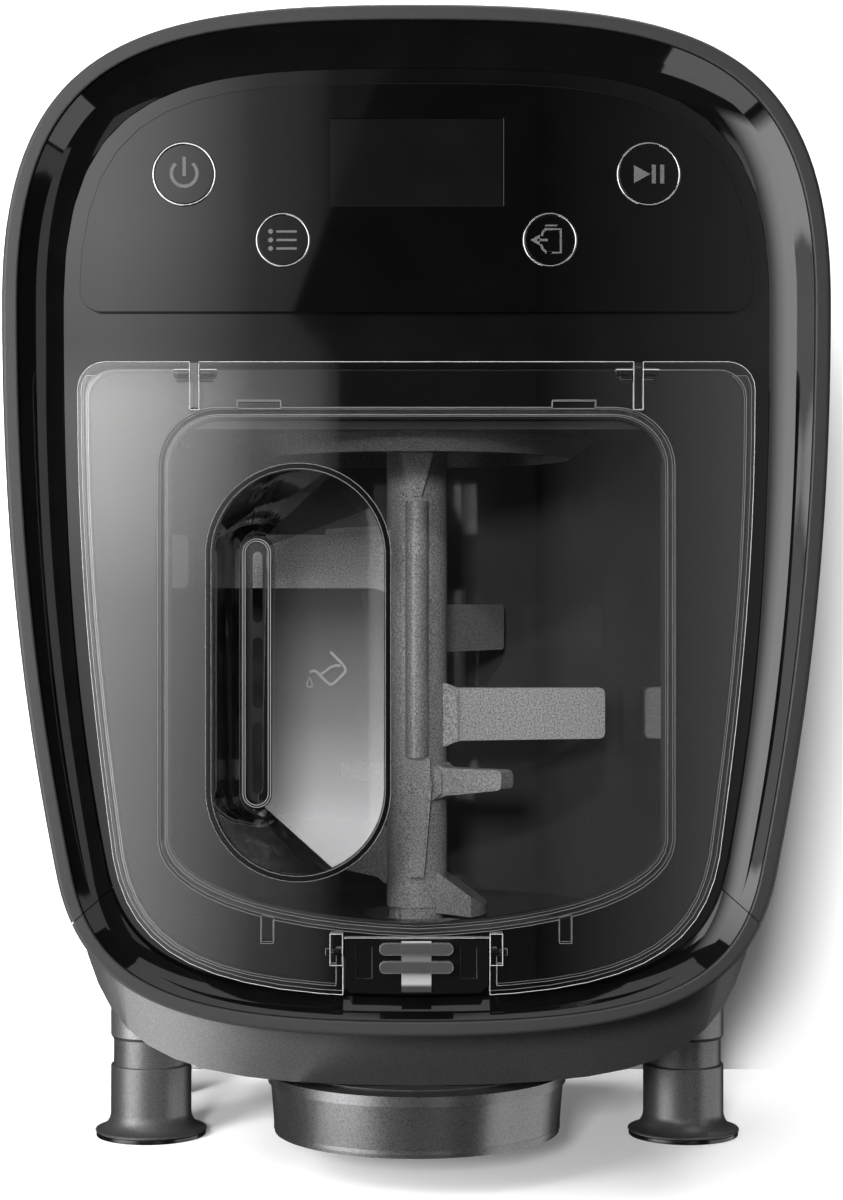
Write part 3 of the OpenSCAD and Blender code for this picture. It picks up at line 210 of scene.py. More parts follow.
def make_finishes():
    """Makes each finish, named for its real material and how its surface came about; some also carry painted
    light or shade, as their comments say.
    """
    # ABS moulded against a spark-eroded tool: a soft matt dark grey with a sandy grain
    moulded("grained_abs_rim", "#1a1a1a", "#222223", 0.55, 0.45, 0.03)
    # ABS from a polished tool: deep black, mirror-like, with a trace of ripple
    moulded("polished_abs_black", "#040404", "#060606", 0.045, 14.0, 0.0, spread=0.012)
    # back-painted acrylic sheet: black glass look
    moulded("painted_acrylic_black", "#020202", "#030303", 0.03, 18.0, 0.0, spread=0.008)
    # acrylic over a dark display: a shade lighter than the panel
    moulded("display_acrylic", "#060606", "#080808", 0.05, 16.0, 0.0, spread=0.01)
    # metallic lacquer sprayed on ABS: aluminium flakes of 0.1 mm, drawn as a 0.45 mm grain to show
    moulded("sprayed_metallic_lacquer", "#626263", "#868687", 0.40, 0.45, 0.015, metal=0.8)
    # the same lacquer on the turned sleeves, a little darker as painted shade
    moulded("sprayed_lacquer_painted_shade", "#505051", "#6e6e6f", 0.38, 0.45, 0.015, metal=0.8)
    # the nut: the same lacquer on turned aluminium, smoother, so that it mirrors in upright bands, and darker
    # as painted shade
    moulded("sprayed_nut_lacquer_painted_shade", "#5a5a5b", "#767677", 0.30, 0.45, 0.01, metal=0.9)
    # die-cast aluminium, blasted: a grainy light grey
    moulded("blasted_cast_aluminium", "#666667", "#c0c0c1", 0.38, 0.5, 0.05, metal=0.6)
    # stainless steel, ground
    moulded("ground_stainless_steel", "#a9abad", "#bdbfc1", 0.27, 1.2, 0.004, metal=1.0)
    # chrome on brass: a bright mirror
    moulded("bright_chrome", "#e4e6e8", "#eceef0", 0.07, 10.0, 0.0, metal=1.0, spread=0.02)
    # polycarbonate chamber, dark grey and polished inside
    moulded("polished_grey_polycarbonate", "#2b2b2c", "#303031", 0.07, 22.0, 0.0, spread=0.02)
    # nitrile rubber
    moulded("moulded_nitrile_rubber", "#0d0d0d", "#151515", 0.6, 0.8, 0.02)
    # the same rubber from a polished tool, under the front feet
    moulded("polished_nitrile_rubber", "#070707", "#0b0b0b", 0.2, 3.0, 0.0)
    # silicone seal
    moulded("moulded_silicone", "#3a3b3d", "#444547", 0.45, 1.5, 0.01)
    # nylon gears and disc, natural colour
    moulded("machined_nylon", "#cfcabb", "#dcd8ca", 0.42, 1.5, 0.01)
    # opal ABS of the push switches behind the buttons
    moulded("opal_abs", "#444445", "#4b4b4c", 0.3, 6.0, 0.0)
    # frosted clear ABS of the two grips: the strip shows through them
    clear("frosted_clear_grip", "#b4b4b4", 1.0, rough=0.2, cloud=0.38, haze="#4a4a4b")
    # spring steel strip, bent: its tone by height is painted sheen, bright at its top and low down, and dark
    # at its end, where it turns away
    painted_sheen_bands("bent_spring_steel_painted_sheen", [
        (0.0655, 0.02), (0.0672, 0.03), (0.0680, 0.25), (0.0705, 0.19), (0.0735, 0.09), (0.0765, 0.10),
        (0.0785, 0.2), (0.0802, 0.26)])
    # blackened steel of the hinge and latch pins
    moulded("blackened_steel", "#232425", "#2e2f30", 0.35, 1.0, 0.0, metal=1.0)
    # lacquered glass-fibre board
    moulded("green_circuit_board", "#0c3a1d", "#14512a", 0.35, 2.0, 0.01)
    # enamelled copper winding: close turns of 0.6 mm wire
    moulded("enamelled_copper", "#8a4c25", "#a8622f", 0.3, 0.9, 0.05, metal=0.9)
    # screen-printed grey ink
    moulded("printed_grey_ink", "#3b3b3b", "#414141", 0.5, 1.0, 0.0)
    # raised lines of the recess's floor, frosted
    moulded("frosted_relief", "#454545", "#4c4c4c", 0.4, 1.0, 0.0)
    # clear and smoked polycarbonate
    clear("clear_polycarbonate", "#f8f8f8", 1.5)
    # its walls, which stand edge-on to the front and show little but their rims
    clear("clear_polycarbonate_wall", "#eeeeee", 0.12)
    # the recess: smoked walls, and a floor that is misted towards its lower end; the misting thins upwards
    # partly because the floor is clearer there and partly as painted shade
    clear("smoked_polycarbonate", "#cacaca", 1.0, rough=0.05, cloud=0.3, haze="#141414")
    clear("misted_polycarbonate_painted_shade", "#ececec", 0.9, rough=0.08, haze="#7c7c7d",
          mist_and_shade=[(0.112, 0.62), (0.120, 0.50), (0.140, 0.24), (0.160, 0.13), (0.172, 0.06), (0.186, 0.02),
                (0.21, 0.01)])
    clear("dark_smoked_polycarbonate", "#3a3a3b", 1.0, rough=0.05, cloud=0.6, haze="#0c0c0c")
    # where the clear sheet is cut or turned, its edge gets a painted glint: a pale line for the light that
    # the edge gathers
    clear("painted_edge_glint", "#c0c0c0", 1.0, rough=0.15, cloud=0.6, haze="#a4a4a4")
    clear("faint_painted_edge_glint", "#c8c8c8", 1.0, rough=0.15, cloud=0.4, haze="#6c6c6c")


# ---------------------------------------------------------------- outlines, in mm, as (x, z)


def bezier(a, b, c, d, count):
    """Points on a cubic Bezier curve, without its last one."""
    points = []
    for i in range(count):
        t = i / count
        u = 1 - t
        points.append(tuple(u ** 3 * a[k] + 3 * u * u * t * b[k] + 3 * u * t * t * c[k] + t ** 3 * d[k]
                            for k in (0, 1)))
    return points


def mirrored(half):
    """Closes a right half, given from the top, with its mirror image."""
    return half + [(-x, z) for x, z in reversed(half) if x > 0.01]


FACE_HALF, FACE_TOP, WAIST, FACE_LOW = 113.7, 336.7, 255.5, 53.5  # half width, top, widest height, bottom
SHOULDER_LEAN = math.radians(11.3)  # how far the sides lean in where they turn into the bottom
PARTING_SLOPE = 0.88  # the two parting lines fall outwards at this slope
PARTING_AT = (FACE_HALF - 20.3, 85.8)  # a point that they pass, as (x, z)
PARTING_GAP = 0.35
RIM_DEPTH = 22.0
DISH_IN, DISH_OUT, DISH_UNDER = 15.8, 4.6, 10.2  # the ring's insets: inner, outer, and inner at the bottom


def shield(half, top, reach_t, reach_s, shoulder, low, corner, reach_b, count=40):
    """A shield from its half width, top, Bezier reaches, shoulder point, bottom and corner size."""
    lean = (math.sin(SHOULDER_LEAN), math.cos(SHOULDER_LEAN))
    sx, sz = shoulder
    return mirrored(
        bezier((0, top), (reach_t, top), (half, WAIST + reach_s), (half, WAIST), count)
        + bezier((half, WAIST), (half, WAIST - 62), (sx + 50 * lean[0], sz + 50 * lean[1]), shoulder, count)
        + bezier(shoulder, (sx - corner * lean[0], sz - corner * lean[1]), (reach_b, low), (0, low), count)
        + [(0, low)])


def face_outline(inset, low=None):
    """The face's outline, drawn in by one distance at the sides and another at the bottom."""
    low = inset if low is None else low
    k = (FACE_HALF - inset) / FACE_HALF
    return shield(FACE_HALF - inset, FACE_TOP - inset, 0.65 * FACE_HALF * k, 0.9 * (FACE_TOP - WAIST) * k,
                  (FACE_HALF - 15 - (inset + low) / 2 * 0.97, FACE_LOW + 44.1 + 0.2 * low),
                  FACE_LOW + low, 34.3 * k, 66.2 * k)


def stadium(centre_x, centre_z, half_w, half_h, count=24):
    """A slot-shaped outline, taller than wide."""
    run = half_h - half_w
    angles = [math.pi * (i + 0.5) / count for i in range(2 * count)]
    return [(centre_x + half_w * math.cos(a),
             centre_z + (run if math.sin(a) >= 0 else -run) + half_w * math.sin(a)) for a in angles]


# ---------------------------------------------------------------- making pieces


def piece(name, bm, finish, body, replaces=(), sharp=32.0):
    """Turns a bmesh in metres into a piece that rides on a body."""
    bmesh.ops.recalc_face_normals(bm, faces=bm.faces)
    mesh = bpy.data.meshes.new(name)
    bm.to_mesh(mesh)
    bm.free()
    mesh.materials.append(FINISHES[finish])
    mesh.shade_smooth()
    mesh.set_sharp_from_angle(angle=math.radians(sharp))
    obj = bpy.data.objects.new(name, mesh)
    bpy.context.scene.collection.objects.link(obj)
    weigh = obj.modifiers.new("flat faces stay flat", "WEIGHTED_NORMAL")
    weigh.keep_sharp = True
    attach(obj, body)
    if replaces:
        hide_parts(*replaces)
    return obj


def ring(bm, outline, depth):
    """Vertices along an outline, depth mm behind the front."""
    return [bm.verts.new((x * MM, (FRONT + depth) * MM, z * MM)) for x, z in outline]


def loft(stations):
    """A closed bmesh skin through outlines, each given as (outline, depth in mm behind the front)."""
    bm = bmesh.new()
    rings = [ring(bm, outline, depth) for outline, depth in stations]
    for a, b in list(zip(rings, rings[1:])) + [(rings[-1], rings[0])]:
        for i in range(len(a)):
            j = (i + 1) % len(a)
            bm.faces.new((a[i], a[j], b[j], b[i]))
    return bm


def below_parting(bm, keep_low, gap, drop=0.0):
    """Cuts a face ring along the two slanted parting lines, and closes the cuts.

    gap is left out of the lower part, and drop lowers the cut, both in mm.
    """
    slope = PARTING_SLOPE
    apex = PARTING_AT[1] + PARTING_AT[0] * slope - (gap if keep_low else 0) - drop
    if keep_low:
        for side in (-1, 1):
            cut = bmesh.ops.bisect_plane(
                bm, geom=bm.verts[:] + bm.edges[:] + bm.faces[:], plane_co=(0, 0, apex * MM),
                plane_no=(side * slope, 0, 1), clear_outer=True)
            edges = [e for e in cut["geom_cut"] if isinstance(e, bmesh.types.BMEdge)]
            bmesh.ops.contextual_create(bm, geom=edges)
        return bm
    half = bm.copy()
    for side, part in ((1, bm), (-1, half)):
        bmesh.ops.bisect_plane(part, geom=part.verts[:] + part.edges[:] + part.faces[:], plane_co=(0, 0, 0),
                               plane_no=(-side, 0, 0), clear_outer=True)
        cut = bmesh.ops.bisect_plane(
            part, geom=part.verts[:] + part.edges[:] + part.faces[:], plane_co=(0, 0, apex * MM),
            plane_no=(-side * slope, 0, -1), clear_outer=True)
        edges = [e for e in cut["geom_cut"] if isinstance(e, bmesh.types.BMEdge)]
        bmesh.ops.contextual_create(part, geom=edges)
    mesh = bpy.data.meshes.new("half_ring")
    half.to_mesh(mesh)
    half.free()
    bm.from_mesh(mesh)
    bpy.data.meshes.remove(mesh)
    bmesh.ops.remove_doubles(bm, verts=bm.verts, dist=0.00001)
    return bm


def softened(node, finish, bevel=0.3, sharp=30.0):
    """A copy of a CAD node with its edges rounded by bevel mm, which stands for the node."""
    least_angle = math.radians(30.0)
    bm = bmesh.new()
    bm.from_mesh(NODES[node].data)
    bmesh.ops.remove_doubles(bm, verts=bm.verts, dist=0.000003)
    bmesh.ops.dissolve_limit(bm, angle_limit=math.radians(0.6), verts=bm.verts, edges=bm.edges,
                             use_dissolve_boundaries=False)
    if bevel:
        edges = [e for e in bm.edges if e.is_manifold and e.calc_face_angle(0) > least_angle]
        bmesh.ops.bevel(bm, geom=edges, offset=bevel * MM, offset_type="OFFSET", segments=3, profile=0.5,
                        affect="EDGES", clamp_overlap=True)
    return piece(node + "_dressed", bm, finish, BODY_OF[node], (node,), sharp)


def plain(node, finish):
    """Gives a CAD node its finish, with its shape as it is."""
    obj = NODES[node]
    if not obj.material_slots:
        obj.data.materials.append(FINISHES[finish])
    for s in obj.material_slots:
        s.material = FINISHES[finish]


def run_depth(run):
    """The mean depth of a run of points, in mm."""
    return sum(p[1] for p in run[0]) / len(run[0])


def feature_lines(node, limit):
    """The sharp edges of a CAD node as chains of points (x, depth, z) in mm, each with closed or not."""
    bm = bmesh.new()
    bm.from_mesh(NODES[node].data)
    bmesh.ops.remove_doubles(bm, verts=bm.verts, dist=0.000003)
    # a dict and not a set, so that the chains come out in the same order each run
    left = dict.fromkeys(e for e in bm.edges if e.is_manifold and e.calc_face_angle(0) > math.radians(limit))
    chains = []
    straight = 0.6  # the least cosine between neighbours in a chain
    while left:
        edge, _ = left.popitem()
        chain = [edge.verts[0], edge.verts[1]]
        for end in (1, 0):
            while True:
                tip = chain[-1] if end else chain[0]
                back = (tip.co - (chain[-2] if end else chain[1]).co).normalized()
                onward = [e for e in tip.link_edges if e in left
                          and (e.other_vert(tip).co - tip.co).normalized().dot(back) > straight]
                if not onward:
                    break
                del left[onward[0]]
                far = onward[0].other_vert(tip)
                chain.append(far) if end else chain.insert(0, far)
        closed = chain[0] is chain[-1] and len(chain) > 3
        points = [(v.co.x / MM, v.co.y / MM - FRONT, v.co.z / MM) for v in (chain[:-1] if closed else chain)]
        chains.append((points, closed))
    bm.free()
    return chains


def wire(name, runs, radius, finish, body):
    """Fine round lines: runs is a list of (points in mm as x, depth, z; closed or not)."""
    curve = bpy.data.curves.new(name, "CURVE")
    curve.dimensions = "3D"
    curve.bevel_depth = radius * MM
    curve.bevel_resolution = 2
    for points, closed in runs:
        spline = curve.splines.new("POLY")
        spline.points.add(len(points) - 1)
        for p, (x, d, z) in zip(spline.points, points):
            p.co = (x * MM, (FRONT + d) * MM, z * MM, 1)
        spline.use_cyclic_u = closed
    curve.materials.append(FINISHES[finish])
    holder = bpy.data.objects.new(name, curve)
    bpy.context.scene.collection.objects.link(holder)
    mesh = bpy.data.meshes.new_from_object(holder)
    bpy.data.objects.remove(holder)
    mesh.name = name
    mesh.shade_smooth()
    obj = bpy.data.objects.new(name, mesh)
    bpy.context.scene.collection.objects.link(obj)
    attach(obj, body)
    return obj


# ---------------------------------------------------------------- what a user may change


class PastaMakerSizes(bpy.types.PropertyGroup):
    rim_width: bpy.props.FloatProperty(
        name="Rim width", description="Width of the matt rim seen from the front, in mm",
        default=4.4, min=3, max=6)
    rim_round: bpy.props.FloatProperty(
        name="Rim rounding", description="Radius of the rim's front edges, in mm",
        default=0.9, min=0.2, max=2)
    ink_width: bpy.props.FloatProperty(
        name="Pictogram line", description="Width of the printed lines, in mm",
        default=0.62, min=0.3, max=1.2)
    key_power: bpy.props.FloatProperty(
        name="Key light", description="Strength of the light from the left", default=1.0, min=0, max=5)


class PastaMakerColours(bpy.types.PropertyGroup):
    floor: bpy.props.FloatVectorProperty(
        name="Floor", description="Colour of the floor and the backdrop", subtype="COLOR", size=4,
        default=linear("#f4f4f4"), min=0, max=1)


# ---------------------------------------------------------------- the stage


def area(name, place, target, width, height, power, glossy=False):
    """A soft white light, which shows in mirroring faces only if glossy."""
    light = bpy.data.lights.new(name, "AREA")
    light.shape = "RECTANGLE"
    light.size, light.size_y = width, height
    light.energy = power
    obj = bpy.data.objects.new(name, light)
    bpy.context.scene.collection.objects.link(obj)
    obj.location = place
    obj.rotation_euler = (Vector(target) - Vector(place)).to_track_quat("-Z", "Y").to_euler()
    obj.visible_camera = False
    obj.visible_glossy = glossy


def card(name, corners, strength, axis="", stops=(), upright=()):
    """A glowing studio card that is only mirrored and not seen itself.

    stops are (metres, share of strength) along the axis, and upright is the same by height.
    """
    mat, tree, out = material(name)
    glow = add(tree, "ShaderNodeEmission", {"Color": (1, 1, 1, 1), "Strength": strength})
    if stops:
        tree.links.new(by_place(tree, axis, stops), glow.inputs["Color"])
    if upright:
        share = by_place(tree, "Z", upright)
        fade = add(tree, "ShaderNodeMath", {0: share, 1: strength}, operation="MULTIPLY")
        tree.links.new(fade.outputs[0], glow.inputs["Strength"])
    tree.links.new(glow.outputs["Emission"], out.inputs["Surface"])
    mesh = bpy.data.meshes.new(name)
    mesh.from_pydata(corners, [], [tuple(range(len(corners)))])
    mesh.materials.append(mat)
    obj = bpy.data.objects.new(name, mesh)
    bpy.context.scene.collection.objects.link(obj)
    obj.visible_camera = False
    obj.visible_shadow = False
    obj.visible_diffuse = False


def wall(near, far, low, high):
    """The corners of an upright card between two (x, y) places, in metres."""
    return [(*near, low), (*far, low), (*far, high), (*near, high)]


def level(near, far, height):
    """The corners of a level card between two opposite (x, y) corners, in metres."""
    return [(near[0], near[1], height), (far[0], near[1], height), (far[0], far[1], height),
            (near[0], far[1], height)]


class PASTAMAKER_OT_finishes(bpy.types.Operator):
    """Makes the finishes that the pieces wear"""
    bl_idname = "pasta_maker.finishes"
    bl_label = "Finishes"

    def execute(self, context):
        make_finishes()
        return {"FINISHED"}


CAMERA_AT = (0.0014, -0.810, 0.1734)
BACKDROP_Y = 0.125
CARDS_Y = -1.6  # the cards that the flat faces mirror stand here, behind the camera


class PASTAMAKER_OT_stage(bpy.types.Operator):
    """Sets the camera, the pale floor and backdrop, and the studio light"""
    bl_idname = "pasta_maker.stage"
    bl_label = "Stage"

    def execute(self, context):
        scene = context.scene
        lens = bpy.data.cameras.new("camera")
        lens.sensor_fit = "VERTICAL"
        lens.sensor_height = 36
        lens.lens = 75.9
        lens.clip_start = 0.01
        cam = bpy.data.objects.new("camera", lens)
        scene.collection.objects.link(cam)
        cam.location = CAMERA_AT
        cam.rotation_euler = (math.pi / 2, 0, 0)
        scene.camera = cam
        scene.view_settings.view_transform = "Standard"

        world = bpy.data.worlds.new("studio_air")
        scene.world = world
        world.use_nodes = True
        tree = world.node_tree
        tree.nodes.clear()
        out = add(tree, "ShaderNodeOutputWorld")
        glow = add(tree, "ShaderNodeBackground", {"Color": linear("#323233"), "Strength": 1.0})
        tree.links.new(glow.outputs["Background"], out.inputs["Surface"])

        pale = scene.pasta_maker_colours.floor
        # both are seen from their front alone, so that the machine also shows from behind and from below
        for name, own_light, corners in (
                ("floor", 0.14, level((-4, -4), (4, 4), 0)),
                ("backdrop", 0.02, wall((-4, BACKDROP_Y), (4, BACKDROP_Y), -0.5, 4))):
            mat, tree, out = material("painted_" + name)
            grain = object_noise(tree, 60.0, 2.0)
            shade = tuple(c * 0.985 for c in pale[:3]) + (1.0,)
            paint = add(tree, "ShaderNodeBsdfPrincipled", {
                "Base Color": ramp(tree, grain.outputs["Fac"], shade, tuple(pale)), "Roughness": 0.9,
                "Emission Color": (1, 1, 1, 1), "Emission Strength": own_light})
            side = add(tree, "ShaderNodeNewGeometry")
            nothing = add(tree, "ShaderNodeBsdfTransparent")
            both = add(tree, "ShaderNodeMixShader", {
                "Fac": side.outputs["Backfacing"], 1: paint.outputs["BSDF"], 2: nothing.outputs["BSDF"]})
            tree.links.new(both.outputs["Shader"], out.inputs["Surface"])
            mesh = bpy.data.meshes.new(name)
            mesh.from_pydata(corners, [], [(0, 1, 2, 3)])
            mesh.materials.append(mat)
            obj = bpy.data.objects.new(name, mesh)
            scene.collection.objects.link(obj)
            obj.visible_glossy = False
            obj.visible_diffuse = False
            obj.visible_shadow = name == "floor"

        power = scene.pasta_maker_sizes.key_power
        # seen in the flat faces: a card behind the camera on the left, brighter away from the middle,
        # with a slanted edge where the control panel mirrors it
        outline = [(-1.0, -0.5), (-0.07, -0.5), (-0.07, 0.38), (-0.111, 0.42), (-0.040, 0.615), (0.065, 0.9),
                   (-1.0, 0.9)]
        across = [(-1.0, 1.0), (-0.66, 1.0), (-0.60, 0.1), (-0.42, 0.1), (-0.37, 1.0), (-0.27, 1.0),
                  (-0.23, 0.8), (-0.196, 0.58), (-0.143, 0.22), (-0.10, 0.15), (-0.088, 0.12), (-0.075, 0.05),
                  (-0.045, 0.04), (0.07, 0.04)]
        upwards = [(-0.5, 0.0), (-0.25, 0.05), (-0.17, 0.3), (-0.1, 0.36), (0.0, 0.4), (0.07, 0.43),
                   (0.173, 0.52), (0.26, 0.78), (0.345, 0.95), (0.397, 0.75), (0.5, 1.0), (0.9, 1.0)]
        card("left_card", [(x, CARDS_Y, z) for x, z in outline], 3.4 * power, "X", across, upwards)
        # a dim one on the right
        card("right_card", wall((0.10, CARDS_Y), (0.75, CARDS_Y), -0.5, 0.9), 0.7 * power, "X",
             [(0.10, 0.02), (0.2, 0.25), (0.33, 0.7), (0.45, 1.0), (0.75, 1.0)])
        # seen in the dished ring: bright ones far on the left, with a dimmer edge, and a dim one on the right
        upwards = [(-0.35, 0.0), (-0.28, 0.3), (-0.2, 1.0), (0.3, 1.0), (0.5, 0.8), (0.75, 0.6)]
        card("left_wing", wall((-0.885, -0.284), (-0.729, -0.669), -0.35, 0.75), 5.2 * power, upright=upwards)
        card("left_wing_front", wall((-0.729, -0.669), (-0.44, -0.93), -0.35, 0.75), 5.2 * power, "X",
             [(-0.729, 1.0), (-0.60, 0.7), (-0.44, 0.1)], upwards)
        card("left_wing_edge", wall((-0.90, -0.115), (-0.886, -0.28), -0.35, 0.75), 1.6 * power)
        card("right_wing", wall((0.86, -0.33), (0.73, -0.67), -0.05, 0.6), 0.9 * power)
        # one overhead, seen in the lower stretch of the ring
        card("overhead", level((-0.7, -1.0), (0.7, -0.15), 1.1), 1.2 * power)
        # seen in the lacquer of the belly, the nut and the legs
        card("low_left", level((-0.95, -0.75), (-0.20, 0.45), -0.52), 2.2 * power)
        card("low_right", wall((0.78, -0.55), (0.85, -0.2), -0.5, -0.06), 1.8 * power)
        card("low_right_back", wall((0.85, -0.2), (0.70, 0.45), -0.5, -0.02), 1.5 * power)
        # the light that shades the backdrop and the matt surfaces
        area("key", (-0.31, -2.5, 0.64), (0, 0, 0.17), 0.28, 0.28, 80 * power)
        area("near_left", (-0.37, -0.47, 0.27), (0, -0.05, 0.17), 0.22, 0.5, 8.5 * power)
        area("top", (0, -0.35, 1.9), (0, -0.1, 0), 1.4, 1.0, 24 * power)
        area("back_light", (0.2, 0.9, 2.2), (0, 0.12, 0.2), 1.0, 0.8, 25 * power, glossy=True)
        # a narrow beam into the chamber
        beam = bpy.data.lights.new("beam", "SPOT")
        beam.energy = 24 * power
        beam.spot_size = math.radians(11)
        beam.spot_blend = 0.6
        beam.shadow_soft_size = 0.02
        holder = bpy.data.objects.new("beam", beam)
        scene.collection.objects.link(holder)
        holder.location = (0.0, -0.82, 0.60)
        towards = Vector((0.012, -0.06, 0.155)) - holder.location
        holder.rotation_euler = towards.to_track_quat("-Z", "Y").to_euler()
        holder.visible_glossy = False
        return {"FINISHED"}


# ---------------------------------------------------------------- the body


class PASTAMAKER_OT_housing(bpy.types.Operator):
    """Dresses the lacquered housing, the rear cover and what is fixed to it"""
    bl_idname = "pasta_maker.housing"
    bl_label = "Housing"

    def execute(self, context):
        softened("main_housing", "sprayed_metallic_lacquer", 0.5, 40)
        softened("rear_cover", "grained_abs_rim", 0.6, 40)
        softened("mains_inlet", "grained_abs_rim", 0.3)
        softened("cover_screws", "ground_stainless_steel", 0.2)
        softened("back_pads", "moulded_nitrile_rubber", 0.4)
        return {"FINISHED"}


def dish_share(height):
    """The dish's share of its depth: the ring narrows downwards, and gets shallower to keep its slope."""
    if height > 245:
        return 1.0
    if height > 100:
        return 0.72 + 0.28 * (height - 100) / 145
    return 0.55 + 0.17 * max(height - 55, 0) / 45


class PASTAMAKER_OT_face(bpy.types.Operator):
    """Makes the matt rim, the dished black ring and the deck of the face"""
    bl_idname = "pasta_maker.face"
    bl_label = "Face"

    def execute(self, context):
        sizes = context.scene.pasta_maker_sizes
        w, r = sizes.rim_width, sizes.rim_round
        for low, name, body, node in ((False, "rim_upper", "machine", "front_frame"),
                                      (True, "rim_lower", "front_panel", "front_panel")):
            back = RIM_DEPTH - (PARTING_GAP if low else 0)
            stations = [(face_outline(0), back)]
            for i in range(7):
                a = math.pi / 2 * i / 6
                stations.append((face_outline(1.4 * (1 - math.cos(a))), 2.0 * (1 - math.sin(a))))
            for i in range(5):
                a = math.pi / 2 * i / 4
                stations.append((face_outline(w - r * 0.6 * (1 - math.sin(a))), r * 0.6 * (1 - math.cos(a))))
            stations.append((face_outline(w), back))
            bm = loft(stations)
            piece(name, below_parting(bm, low, PARTING_GAP), "grained_abs_rim", body, (node,), 50)
        # a thin black strip closes the slanted parting line, with 0.03 mm of air on either side
        air = 0.03
        bm = loft([(face_outline(0.7), 12.0), (face_outline(0.7), 0.9), (face_outline(w - 0.5), 0.9),
                   (face_outline(w - 0.5), 12.0)])
        bm = below_parting(below_parting(bm, True, air), False, air, 0.31)
        piece("parting_strip", bm, "moulded_nitrile_rubber", "machine")
        # behind the rim a flat band falls at 45 degrees, and from its crease the dish flattens to the deck
        dish = [(DISH_OUT, 1.4), (6.7, 3.5), (8.75, 5.55), (8.95, 5.73), (9.9, 6.45), (10.9, 7.14),
                (11.9, 7.76), (12.9, 8.32), (13.8, 8.76), (14.6, 9.12), (15.2, 9.36), (15.6, 9.52),
                (DISH_IN, 9.6)]
        front = dish[0][1]
        for low, name, body, node in ((False, "dished_ring_upper", "machine", "bezel"),
                                      (True, "dished_ring_lower", "front_panel", "front_panel_bezel")):
            stations = []
            for inset, depth in dish:
                share = (inset - DISH_OUT) / (DISH_IN - DISH_OUT)
                under = inset + share * (DISH_UNDER - DISH_IN)
                stations.append((face_outline(inset, under), depth))
            back = 10.4 if low else 12.6
            stations += [(face_outline(DISH_IN, DISH_UNDER), back), (face_outline(4.5), back)]
            bm = loft(stations)
            for vert in bm.verts:
                depth = vert.co.y / MM - FRONT
                if front < depth < dish[-1][1] + 0.1:
                    share = dish_share(vert.co.z / MM)
                    vert.co.y = (FRONT + front + (depth - front) * share) * MM
            bm = below_parting(bm, low, PARTING_GAP)
            piece(name, bm, "polished_abs_black", body, (node,), 55)
        softened("deck", "polished_abs_black", 0.25)
        return {"FINISHED"}


# ---------------------------------------------------------------- the controls


def ribbon(bm, points, width, depth, closed=False, thick=0.06):
    """A printed line on the XZ plane, standing thick mm proud. depth is a number in mm or a function of x."""
    n = len(points)
    left, right = [], []
    for i, (x, z) in enumerate(points):
        before = points[(i - 1) % n] if closed or i > 0 else points[i]
        after = points[(i + 1) % n] if closed or i < n - 1 else points[i]
        dx, dz = after[0] - before[0], after[1] - before[1]
        size = math.hypot(dx, dz) or 1.0
        nx, nz = -dz / size * width / 2, dx / size * width / 2
        left.append((x + nx, z + nz))
        right.append((x - nx, z - nz))
    base = depth if callable(depth) else lambda x: depth
    layers = []
    for lift in (thick, 0):
        layers.append([[bm.verts.new((x * MM, (FRONT + base(x) - lift) * MM, z * MM)) for x, z in side]
                       for side in (left, right)])
    (fl, fr), (bl, br) = layers
    for i in range(n if closed else n - 1):
        j = (i + 1) % n
        bm.faces.new((fl[i], fl[j], fr[j], fr[i]))
        bm.faces.new((bl[i], br[i], br[j], bl[j]))
        bm.faces.new((fl[i], bl[i], bl[j], fl[j]))
        bm.faces.new((fr[i], fr[j], br[j], br[i]))
    if not closed:
        for i in (0, n - 1):
            bm.faces.new((fl[i], fr[i], br[i], bl[i]))


def filled(bm, points, depth, thick=0.06):
    """A flat printed shape, standing thick mm proud."""
    front = [bm.verts.new((x * MM, (FRONT + depth - thick) * MM, z * MM)) for x, z in points]
    back = [bm.verts.new((x * MM, (FRONT + depth) * MM, z * MM)) for x, z in points]
    bm.faces.new(front)
    bm.faces.new(list(reversed(back)))
    for i in range(len(points)):
        j = (i + 1) % len(points)
        bm.faces.new((front[i], back[i], back[j], front[j]))


def recess_floor(x):
    """Depth of the recess's slanted floor at x, from its shallow right side down to the channel."""
    return 5.5 + 0.828 * (-8.9 - x)


def circle(x, z, r, start=0, end=360, count=32):
    """Points on an arc between two angles in degrees, with both ends."""
    return [(x + r * math.cos(math.radians(start + (end - start) * i / count)),
             z + r * math.sin(math.radians(start + (end - start) * i / count))) for i in range(count + 1)]


